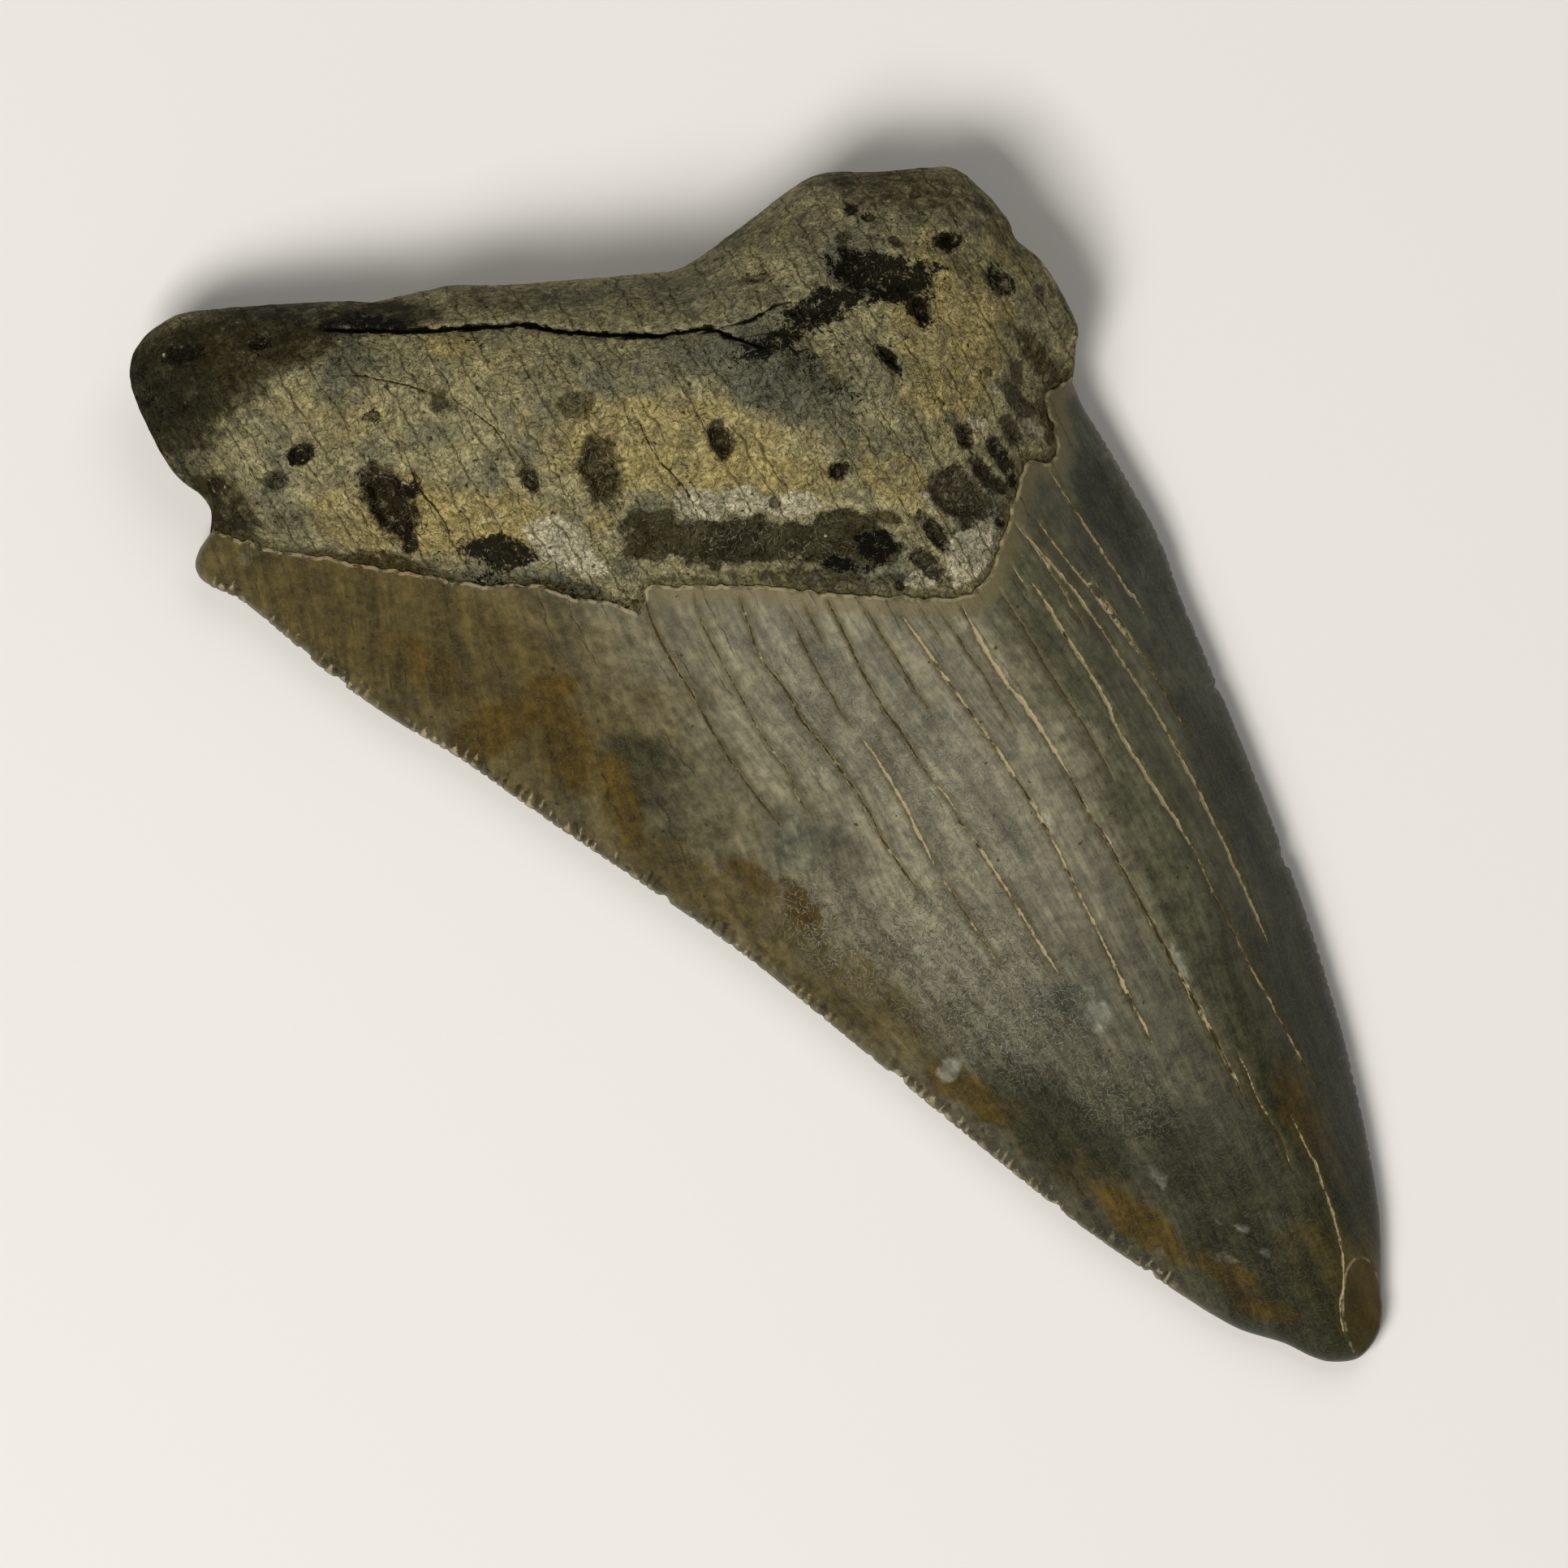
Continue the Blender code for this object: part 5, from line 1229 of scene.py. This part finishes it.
class Finish:
    """A material under construction, with this tooth's own groups at hand."""

    def __init__(self, name, groups):
        self.material = bpy.data.materials.new(name)
        self.material.use_nodes = True
        self.material.node_tree.nodes.clear()
        self.tree = Tree(self.material.node_tree)
        self.groups = groups
        place = self.tree.add("ShaderNodeTexCoord").outputs["Object"]
        self.place = self.tree.scaled(place, 1.0 / MM)
        self.flow = self.tree.attribute("flow", "Vector")
        self.drape = self.tree.add("ShaderNodeCombineXYZ", {
            "X": self.tree.attribute("drape_x"), "Y": self.tree.attribute("drape_y")}).outputs[0]
        self.colour = None

    def group(self, name, **inputs):
        node = self.tree.add("ShaderNodeGroup", node_tree=self.groups[name])
        for label, value in inputs.items():
            self.tree.feed(node.inputs[label.replace("_", " ")], value)
        return node

    def ragged(self, mask, scale, raggedness, low, high):
        mask = self.tree.attribute(mask) if isinstance(mask, str) else mask
        node = self.group("ragged_edge", Mask=mask, Place=self.place, Scale=scale,
                          Raggedness=raggedness, Low=low, High=high)
        return node.outputs[0]

    def field(self, name, scale, amount, low, high):
        """A mask from a distance in millimetres, with its edge moved in and out by noise."""
        tree = self.tree
        rough = tree.math("SUBTRACT", tree.noise(self.place, scale, 5.0, 0.68), 0.5)
        return tree.step(tree.math("MULTIPLY_ADD", rough, amount, tree.attribute(name)), low, high)

    def fibres(self, cell, half_width, share, shift):
        """Two sets of strands together, moved so that no two calls draw the same ones."""
        tree = self.tree
        sets = []
        for size, step in ((cell, 0.0), (1.45 * cell, 31.0)):
            place = tree.vector("ADD", self.drape, (shift + step, 1.7 * shift + step, 0.0))
            node = self.group("fibres", Place=place, Cell=size, Half_Length=0.75 * size,
                              Half_Width=half_width, Share=share)
            sets.append(node.outputs[0])
        return tree.math("MAXIMUM", *sets)

    def crack(self):
        """The crack lines, from this surface's own distances."""
        tree = self.tree
        return self.group("crack_lines", Place=self.place, Gap=tree.attribute("crack_gap"),
                          Half_Width=tree.attribute("crack_width"), Filled=tree.attribute("crack_full"))

    def lay(self, mask, colour, strength=1.0):
        """Lays a colour over what is there."""
        if strength != 1.0:
            mask = self.tree.math("MULTIPLY", mask, strength)
        self.colour = self.tree.mix(mask, self.colour, colour)

    def shade(self, value, low, high):
        """Darkens and lightens what is there by a value's range."""
        factor = self.tree.step(value, 0.3, 0.7, low, high)
        grey = self.tree.add("ShaderNodeCombineXYZ", {"X": factor, "Y": factor, "Z": factor}).outputs[0]
        self.colour = self.tree.mix(1.0, self.colour, grey, "MULTIPLY")

    def close(self, roughness, bumps, **constants):
        """Adds the shader. Bumps are (height socket, distance in millimetres)."""
        normal = None
        for height, distance in bumps:
            bump = self.tree.add("ShaderNodeBump", {"Height": height, "Distance": distance * MM})
            if normal is not None:
                self.tree.feed(bump.inputs["Normal"], normal)
            normal = bump.outputs[0]
        shader = self.tree.add("ShaderNodeBsdfPrincipled", {"Base Color": self.colour,
                                                            "Roughness": roughness, "Normal": normal})
        for label, value in constants.items():
            shader.inputs[label.replace("_", " ")].default_value = value
        output = self.tree.add("ShaderNodeOutputMaterial")
        self.tree.feed(output.inputs["Surface"], shader.outputs[0])
        return self.material


def root_material(settings, groups):
    """The dull, fibrous root: buff and grey mineral with brown and black stains, and painted shade at its
    ends, its rims and under the enamel's ledge.
    """
    finish = Finish("weathered_root", groups)
    tree = finish.tree
    place = finish.place
    beyond = tree.attribute("beyond")
    grain_node = finish.group("mineral_grain", Place=place, Mottle_Scale=0.7, Grain_Scale=3.2)
    mottle = grain_node.outputs["Mottle"]
    fine = tree.noise(place, 3.0, 4.0, 0.7)
    patches = tree.step(tree.noise(place, 0.2, 4.0, 0.6), 0.42, 0.66)
    finish.colour = tree.mix(patches, settings.root_buff, settings.root_grey)
    finish.lay(finish.ragged("ochre", 0.45, 1.8, 0.0, 0.9), settings.root_ochre, 0.9)
    finish.lay(finish.ragged("grey", 0.7, 2.2, 0.25, 0.8), settings.root_slate, 0.8)
    finish.lay(finish.ragged("pale", 1.3, 1.2, 0.3, 0.55), settings.root_chalk, 0.88)
    finish.shade(mottle, 0.72, 1.28)
    finish.shade(fine, 0.68, 1.32)
    lines = finish.group("hairlines", Place=place, Spacing=1.9, Stretch=5.0, Half_Width=0.085, Waver=1.2,
                         Coverage=0.8)
    finish.lay(lines.outputs[0], settings.stain_brown, 0.7)
    thin_lines = finish.group("hairlines", Place=tree.vector("ADD", place, (31.0, 7.0, 3.0)), Spacing=1.1,
                              Stretch=2.6, Half_Width=0.055, Waver=1.0, Coverage=0.6)
    finish.lay(thin_lines.outputs[0], settings.stain_brown, 0.5)
    # Dirt and painted shade, laid in umber over the root's ends and rims.
    dirt_and_painted_shade = finish.ragged("wash", 0.8, 1.7, 0.0, 1.05)
    finish.lay(dirt_and_painted_shade, settings.root_umber, 0.93)
    # Painted shadow under the enamel's ledge, in brown along the root's side of its edge.
    fringe = finish.ragged(tree.step(beyond, 1.3, 0.2), 1.2, 1.8, 0.4, 1.0)
    finish.lay(fringe, settings.stain_brown, 0.6)
    band = finish.field("band_in", 0.75, 3.6, -0.05, 0.25)
    band_colour = tree.mix(tree.step(tree.noise(place, 0.35, 4.0, 0.65), 0.42, 0.6),
                           settings.band_dark, settings.root_umber)
    finish.lay(band, band_colour, 0.92)
    finish.lay(finish.ragged("brown", 1.3, 2.6, 0.3, 0.95), settings.stain_brown, 0.92)
    finish.shade(tree.noise(place, 1.9, 5.0, 0.7), 0.6, 1.4)
    dark_strands = finish.fibres(0.42, 0.042, 0.6, 3.0)
    pale_strands = finish.fibres(0.38, 0.034, 0.6, 57.0)
    black = tree.math("MULTIPLY_ADD", dark_strands, 0.25, tree.attribute("black"))
    black = tree.math("MULTIPLY_ADD", pale_strands, -0.3, black)
    black = finish.ragged(black, 1.3, 3.0, 0.38, 0.75)
    finish.lay(black, settings.stain_black, 0.96)
    patchy = tree.step(tree.noise(place, 0.5, 3.0, 0.6), 0.36, 0.62, 0.25, 0.8)
    patchy = tree.math("MULTIPLY_ADD", tree.attribute("grey"), 0.5, patchy, clamp=True)
    finish.lay(tree.math("MULTIPLY", dark_strands, patchy), settings.root_umber, 0.42)
    wide = tree.math("MULTIPLY_ADD", tree.noise(place, 1.4, 5.0, 0.75), 1.3, tree.attribute("pit_out"))
    pit = tree.math("MULTIPLY", tree.step(wide, 1.74, 1.46), tree.attribute("pit_dark"))
    pit_colour = tree.mix(tree.step(fine, 0.38, 0.62), settings.pit_brown,
                          settings.stain_black)
    crust = tree.noise(tree.vector("ADD", place, (6.0, 6.0, 6.0)), 1.5, 4.0, 0.65)
    crust = tree.step(crust, 0.56, 0.66)
    pit_colour = tree.mix(tree.math("MULTIPLY", crust, 0.4), pit_colour, settings.root_chalk)
    finish.lay(pit, pit_colour, 0.93)
    tint = tree.mix(0.34, finish.colour, settings.root_chalk)
    clear_of_stain_and_shade = tree.math("MULTIPLY_ADD", tree.math("MAXIMUM", black, dirt_and_painted_shade), -0.85, 1.0)
    lit = tree.math("MULTIPLY", patchy, clear_of_stain_and_shade)
    finish.colour = tree.mix(tree.math("MULTIPLY", pale_strands, lit), finish.colour, tint)
    specks = finish.group("speckles", Place=place, Scale=1.5, Size=0.24, Share=0.3)
    finish.lay(specks.outputs[0], settings.stain_black, 0.8)
    bright = finish.group("speckles", Place=tree.vector("ADD", place, (5.0, 9.0, 1.0)), Scale=0.9,
                          Size=0.12, Share=0.1)
    finish.lay(bright.outputs[0], settings.root_chalk, 0.9)
    crack = finish.crack()
    gap_colour = tree.mix(tree.step(tree.attribute("crack_width"), 0.07, 0.14),
                          settings.stain_brown, settings.stain_black)
    finish.lay(crack.outputs["Dark"], gap_colour, 0.98)
    # A black line just beyond the enamel's edge: a gap, and painted shadow under the ledge.
    finish.lay(tree.math("MULTIPLY", tree.step(beyond, 0.22, 0.06), tree.step(mottle, 0.42, 0.56)),
               settings.stain_black, 0.8)
    roughness = tree.step(mottle, 0.3, 0.7, 0.66, 0.9)
    bumps = [(grain_node.outputs["Height"], 0.26), (pale_strands, 0.07), (dark_strands, -0.08)]
    return finish.close(roughness, bumps, Specular_IOR_Level=0.03)


def enamel_material(settings, groups):
    """The satin enamel of the crown: grey-olive with brown stains, growth streaks and cracks, and frost
    strands that also paint its sheen.
    """
    finish = Finish("crown_enamel", groups)
    tree = finish.tree
    place = finish.place
    beyond = tree.attribute("beyond")
    edge_in = tree.attribute("edge_in")
    split = tree.add("ShaderNodeSeparateXYZ", {"Vector": finish.flow})
    across, along = split.outputs["X"], split.outputs["Y"]
    streak_place = tree.vector("MULTIPLY", finish.flow, (1.0, 0.1, 0.0))
    streaks = tree.noise(streak_place, 2.6, 5.0, 0.7)
    broad_streaks = tree.noise(streak_place, 0.6, 3.0, 0.5)
    cloud = tree.math("SUBTRACT", tree.noise(place, 0.16, 4.0, 0.6), 0.5)
    drift = tree.math("MULTIPLY_ADD", cloud, 14.0, across)
    finish.colour = tree.mix(tree.step(drift, -14.0, 1.0), settings.enamel_umber,
                             settings.enamel_beige)
    finish.lay(tree.step(drift, 12.0, 19.0), settings.enamel_olive, 0.95)
    finish.lay(tree.step(drift, 20.0, 27.0), settings.enamel_slate, 0.9)
    low = tree.math("MULTIPLY_ADD", cloud, 16.0, along)
    finish.lay(tree.step(low, -2.0, -36.0), settings.enamel_dark, 0.82)
    finish.lay(finish.ragged("grey", 0.35, 1.4, 0.1, 0.95), settings.enamel_slate, 0.75)
    finish.lay(finish.ragged("brown", 0.3, 1.4, 0.1, 0.85), settings.enamel_brown, 0.85)
    finish.lay(finish.ragged("black", 0.35, 1.4, 0.1, 0.95), settings.enamel_dark, 0.85)
    finish.lay(finish.ragged("ochre", 0.4, 1.1, 0.0, 0.75), settings.enamel_amber, 0.88)
    finish.lay(finish.ragged("pale", 0.9, 1.0, 0.25, 0.9), settings.enamel_frost_and_sheen, 0.55)
    finish.shade(broad_streaks, 0.74, 1.26)
    clouds = tree.noise(tree.vector("ADD", place, (12.0, 4.0, 7.0)), 0.33, 3.0, 0.55)
    finish.shade(clouds, 0.8, 1.2)
    finish.shade(streaks, 0.72, 1.28)
    grain_node = finish.group("mineral_grain", Place=place, Mottle_Scale=1.3, Grain_Scale=5.0)
    mottle = grain_node.outputs["Mottle"]
    finish.shade(mottle, 0.7, 1.3)
    warm = tree.math("MULTIPLY", tree.step(beyond, -2.2, -0.3), tree.step(across, -7.0, -3.0))
    finish.lay(finish.ragged(warm, 0.8, 1.4, 0.2, 0.9), settings.enamel_honey, 0.65)
    upper = tree.step(along, -16.0, 6.0, 0.16, 0.5)
    fine_cracks = finish.group("hairlines", Place=finish.flow, Spacing=1.5, Stretch=6.0, Half_Width=0.04,
                               Waver=0.7, Coverage=upper)
    finish.lay(fine_cracks.outputs[0], settings.enamel_dark, 0.7)
    # Frost strands, whose pale ones also paint the sheen over the frosted zone.
    frost_and_sheen = tree.math("MULTIPLY_ADD", tree.attribute("wash"), 0.85, 0.12)
    dark_strands = tree.math("MULTIPLY", finish.fibres(0.34, 0.034, 0.65, 11.0), frost_and_sheen)
    finish.lay(dark_strands, settings.enamel_dark, 0.7)
    pale_strands = tree.math("MULTIPLY", finish.fibres(0.3, 0.03, 0.7, 83.0), frost_and_sheen)
    finish.lay(pale_strands, settings.enamel_frost_and_sheen, 0.6)
    specks = finish.group("speckles", Place=place, Scale=1.1, Size=0.16, Share=0.2)
    finish.lay(specks.outputs[0], settings.enamel_dark, 0.8)
    left_edge = tree.step(tree.attribute("edge_run"), 250.0, 299.0, 1.0, 0.2)
    marks = finish.group("serration_marks", Place=place, Turns=tree.attribute("turns"), Edge_In=edge_in,
                         Strength=tree.math("MULTIPLY", tree.attribute("notch"), left_edge))
    rim_line = tree.math("MULTIPLY", finish.field("edge_in", 0.8, 0.6, 0.3, 0.1), left_edge)
    finish.lay(rim_line, settings.enamel_honey, 0.45)
    finish.lay(marks.outputs["Crest"], settings.enamel_cream, 0.75)
    finish.lay(marks.outputs["Slot"], settings.pit_brown, 0.95)
    crack = finish.crack()
    finish.lay(crack.outputs["Stain"], settings.enamel_brown, 0.45)
    finish.lay(crack.outputs["Pale"], settings.enamel_cream, 0.85)
    finish.lay(crack.outputs["Dark"], settings.stain_brown, 0.95)
    chip = tree.attribute("chip_in")
    finish.lay(tree.step(chip, 0.0, 0.2), settings.enamel_amber, 0.4)
    rim = tree.math("MULTIPLY", tree.step(chip, -0.14, 0.0), tree.step(chip, 0.16, 0.04))
    rim = tree.math("MULTIPLY", rim, tree.step(tree.noise(place, 0.9, 3.0), 0.45, 0.6))
    finish.lay(rim, settings.enamel_cream, 0.5)
    fringe = tree.math("MULTIPLY", tree.step(beyond, -0.24, -0.1), tree.step(mottle, 0.42, 0.56))
    finish.lay(fringe, settings.enamel_cream, 0.6)
    roughness = tree.step(mottle, 0.3, 0.7, 0.36, 0.5)
    bumps = [(streaks, 0.05), (grain_node.outputs["Height"], 0.05), (pale_strands, 0.04)]
    return finish.close(roughness, bumps, Specular_IOR_Level=0.12)


def floor_material(colour):
    material = bpy.data.materials.new("pale_floor")
    material.use_nodes = True
    shader = material.node_tree.nodes["Principled BSDF"]
    shader.inputs["Base Color"].default_value = tuple(colour)
    shader.inputs["Roughness"].default_value = 0.9
    return material


def colour_property(name, description, red, green, blue):
    return bpy.props.FloatVectorProperty(name=name, description=description, subtype="COLOR", size=4,
                                         min=0.0, max=1.0, default=(red, green, blue, 1.0))


def length_property(name, description, default):
    return bpy.props.FloatProperty(name=name, description=description, default=default, unit="LENGTH",
                                   precision=5)


class FossilToothSettings(bpy.types.PropertyGroup):
    """Sizes and colours of the tooth."""

    seed: bpy.props.IntProperty(name="Seed", description="Scatter of pores and wear", default=5)
    root_grid: length_property("Root Fineness", "Spacing of the root's surface points", 0.00028)
    crown_grid: length_property("Crown Fineness", "Spacing of the crown's surface points", 0.0004)
    pitch: length_property("Serration Pitch", "Distance from one serration to the next", 0.0008)
    notch_depth: length_property("Notch Depth", "Depth of the notches between serrations", 0.00012)
    groove_depth: length_property("Groove Depth", "Depth of the groove behind each notch", 0.00018)
    nick_depth: length_property("Nick Depth", "Depth of the worn nicks in the cutting edges", 0.00022)
    serration_reach: length_property("Serration Length", "How far the grooves run inwards", 0.0011)
    coarse_height: length_property("Lump Height", "Height of the root's small lumps", 0.0001)
    fine_height: length_property("Grain Height", "Height of the root's grain", 0.00006)
    root_buff: colour_property("Root Buff", "Main colour of the root", 0.256, 0.228, 0.118)
    root_grey: colour_property("Root Grey", "Second colour of the root", 0.135, 0.130, 0.082)
    root_ochre: colour_property("Root Ochre", "Iron-stained root", 0.300, 0.240, 0.092)
    root_slate: colour_property("Root Slate", "Grey mineral on the root", 0.078, 0.080, 0.056)
    root_chalk: colour_property("Root Chalk", "Pale patches of the root", 0.390, 0.360, 0.240)
    # Root umber also paints shade over the root's ends and rims.
    root_umber: colour_property("Root Umber", "Dirt washed over the root", 0.013, 0.011, 0.004)
    # Brown stain also paints the shadow under the enamel's ledge.
    stain_brown: colour_property("Brown Stain", "Brown stain and dirt", 0.036, 0.026, 0.005)
    # Black stain also paints the shadow line at the enamel's edge on the root.
    stain_black: colour_property("Black Stain", "Manganese stain", 0.004, 0.004, 0.003)
    band_dark: colour_property("Band", "The dark band above the enamel", 0.040, 0.036, 0.017)
    pit_brown: colour_property("Pit", "Dirt in the pits", 0.026, 0.018, 0.007)
    enamel_beige: colour_property("Enamel Beige", "Middle of the crown", 0.165, 0.152, 0.100)
    enamel_umber: colour_property("Enamel Umber", "Left flank of the crown", 0.080, 0.062, 0.022)
    enamel_olive: colour_property("Enamel Olive", "Right flank of the crown", 0.098, 0.096, 0.052)
    enamel_slate: colour_property("Enamel Slate", "Blue-grey parts of the crown", 0.042, 0.047, 0.031)
    enamel_brown: colour_property("Enamel Brown", "Brown stain of the crown", 0.064, 0.047, 0.012)
    enamel_dark: colour_property("Enamel Dark", "Dark green-grey parts of the crown", 0.017, 0.017, 0.006)
    enamel_amber: colour_property("Enamel Amber", "Amber stains of the crown", 0.056, 0.034, 0.003)
    enamel_honey: colour_property("Enamel Honey", "Warm stain under the enamel's edge", 0.160, 0.130, 0.060)
    # Enamel frost also paints the sheen over the frosted zone.
    enamel_frost_and_sheen: colour_property("Enamel Frost", "Pale specks in the enamel", 0.310, 0.305, 0.245)
    enamel_cream: colour_property("Enamel Cream", "Worn edges and fillings", 0.420, 0.350, 0.200)


class FossilStageSettings(bpy.types.PropertyGroup):
    """Floor, lights and camera."""

    floor_colour: colour_property("Floor", "Colour of the floor", 0.78, 0.77, 0.75)
    key_power: bpy.props.FloatProperty(name="Key Light", description="Power of the main soft light",
                                       default=8.8, subtype="POWER")
    fill_power: bpy.props.FloatProperty(name="Fill Light", description="Power of the weaker light",
                                        default=2.0, subtype="POWER")
    air: bpy.props.FloatProperty(name="Air Light", description="Even light from all round", default=0.12)
    camera_height: length_property("Camera Height", "Distance of the camera above the floor", 1.0)
    view_width: length_property("View Width", "Width of the picture at the tooth", 0.1098)


# The photograph's view: straight down, turned so that the crown's axis runs to the lower right.
VIEW_CENTRE = (-0.0031, 0.0027)
VIEW_TURN = math.radians(30.5)
VIEW_LEVEL = 0.006
SENSOR = 36.0

# The floor, just under the tooth, and the two soft lights over it, in metres.
FLOOR_HALF = 1.5
FLOOR_LEVEL = -0.0002
KEY_PLACE = (-0.44, -0.14, 0.86)
KEY_SIZE = 0.4
FILL_PLACE = (0.42, 0.36, 0.75)
FILL_SIZE = 0.6
LIGHT_TINT = (1.0, 0.97, 0.92)
AIR_TINT = (1.0, 0.985, 0.95, 1.0)


class TOOTH_OT_build(bpy.types.Operator):
    """Build the tooth's surface: root and crown in one closed piece"""

    bl_idname = "fossil.build_tooth"
    bl_label = "Build Tooth"

    def execute(self, context):
        settings = context.scene.fossil_tooth
        groups = shader_groups()
        root = root_material(settings, groups)
        enamel = enamel_material(settings, groups)
        data = tooth_mesh(settings)
        raw = bpy.data.objects.new("tooth_raw", data)
        context.scene.collection.objects.link(raw)
        cut = raw.modifiers.new("serrations", "NODES")
        cut.node_group = serration_tree()
        set_inputs(cut, {"Pitch": settings.pitch / MM, "Notch Depth": settings.notch_depth / MM,
                         "Groove Depth": settings.groove_depth / MM, "Nick Depth": settings.nick_depth / MM,
                         "Reach": settings.serration_reach / MM, "Seed": float(settings.seed)})
        weather = raw.modifiers.new("weathering", "NODES")
        weather.node_group = weathering_tree()
        set_inputs(weather, {"Coarse Height": settings.coarse_height / MM,
                             "Fine Height": settings.fine_height / MM,
                             "Root Material": root, "Enamel Material": enamel})
        evaluated = raw.evaluated_get(context.evaluated_depsgraph_get())
        surface = bpy.data.meshes.new_from_object(evaluated)
        surface.name = "tooth_surface_final"
        raw.modifiers.clear()
        bpy.data.objects.remove(raw, do_unlink=True)
        if not surface.materials or len(surface.polygons) == 0:
            raise RuntimeError("the tooth's surface came out empty")
        fit_to_box(surface)
        piece = bpy.data.objects.new("tooth_surface", surface)
        context.scene.collection.objects.link(piece)
        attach(piece, "root")
        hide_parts("tooth")
        return {"FINISHED"}


def fit_to_box(mesh):
    """Keeps the mesh inside the frame's tooth, with its lowest points on the same level."""
    points = np.empty(len(mesh.vertices) * 3, np.float32)
    mesh.vertices.foreach_get("co", points)
    points = points.reshape(-1, 3).astype(float)
    low, high = (np.array(corner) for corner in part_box("tooth"))
    scale = np.minimum((high - low) / (points.max(axis=0) - points.min(axis=0)), 1.0)
    middle = (points.max(axis=0) + points.min(axis=0)) / 2
    target = (low + high) / 2
    anchor = np.array([middle[0], middle[1], points[:, 2].min()])
    seat = np.array([target[0], target[1], low[2]])
    points = (points - anchor) * scale + seat
    mesh.vertices.foreach_set("co", points.astype(np.float32).ravel())
    mesh.update()


class TOOTH_OT_stage(bpy.types.Operator):
    """Set the floor, the soft lights and the camera"""

    bl_idname = "fossil.set_stage"
    bl_label = "Set Stage"

    def execute(self, context):
        settings = context.scene.fossil_stage
        self.add_floor(context, settings)
        self.add_light(context, "key_light", settings.key_power, KEY_SIZE, KEY_PLACE)
        self.add_light(context, "fill_light", settings.fill_power, FILL_SIZE, FILL_PLACE)
        self.add_air(context, settings)
        self.add_camera(context, settings)
        context.scene.view_settings.view_transform = "Standard"
        return {"FINISHED"}

    def add_floor(self, context, settings):
        data = bpy.data.meshes.new("floor")
        signs = ((-1, -1), (1, -1), (1, 1), (-1, 1))
        corners = [(FLOOR_HALF * x, FLOOR_HALF * y, FLOOR_LEVEL) for x, y in signs]
        data.from_pydata(corners, [], [(0, 1, 2, 3)])
        data.materials.append(floor_material(settings.floor_colour))
        floor = bpy.data.objects.new("floor", data)
        context.scene.collection.objects.link(floor)

    def add_light(self, context, name, power, size, place):
        data = bpy.data.lights.new(name, "AREA")
        data.energy = power
        data.size = size
        data.color = LIGHT_TINT
        light = bpy.data.objects.new(name, data)
        light.location = place
        light.rotation_euler = (-Vector(place)).to_track_quat("-Z", "Y").to_euler()
        context.scene.collection.objects.link(light)

    def add_air(self, context, settings):
        world = bpy.data.worlds.new("air")
        world.use_nodes = True
        background = world.node_tree.nodes["Background"]
        background.inputs["Color"].default_value = AIR_TINT
        background.inputs["Strength"].default_value = settings.air
        context.scene.world = world

    def add_camera(self, context, settings):
        data = bpy.data.cameras.new("camera")
        data.sensor_width = SENSOR
        data.lens = SENSOR * (settings.camera_height - VIEW_LEVEL) / settings.view_width
        data.clip_start = 0.01
        camera = bpy.data.objects.new("camera", data)
        turn = Matrix.Rotation(-VIEW_TURN, 4, "Z")
        camera.matrix_world = Matrix.Translation((*VIEW_CENTRE, settings.camera_height)) @ turn
        context.scene.collection.objects.link(camera)
        context.scene.camera = camera


class TOOTH_PT_panel(bpy.types.Panel):
    """Lists the tooth's steps in the sidebar"""

    bl_label = "Fossil Tooth"
    bl_idname = "TOOTH_PT_panel"
    bl_space_type = "VIEW_3D"
    bl_region_type = "UI"
    bl_category = "Fossil Tooth"

    def draw(self, context):
        layout = self.layout
        layout.operator(TOOTH_OT_build.bl_idname)
        for name in FossilToothSettings.__annotations__:
            layout.prop(context.scene.fossil_tooth, name)
        layout.operator(TOOTH_OT_stage.bl_idname)
        for name in FossilStageSettings.__annotations__:
            layout.prop(context.scene.fossil_stage, name)


CLASSES = (FossilToothSettings, FossilStageSettings, TOOTH_OT_build, TOOTH_OT_stage, TOOTH_PT_panel)


def register():
    for kind in CLASSES:
        bpy.utils.register_class(kind)
    bpy.types.Scene.fossil_tooth = bpy.props.PointerProperty(type=FossilToothSettings)
    bpy.types.Scene.fossil_stage = bpy.props.PointerProperty(type=FossilStageSettings)


def unregister():
    del bpy.types.Scene.fossil_stage
    del bpy.types.Scene.fossil_tooth
    for kind in reversed(CLASSES):
        bpy.utils.unregister_class(kind)


def main():
    register()
    bpy.ops.fossil.set_stage()
    bpy.ops.fossil.build_tooth()


if __name__ == "__main__":
    main()
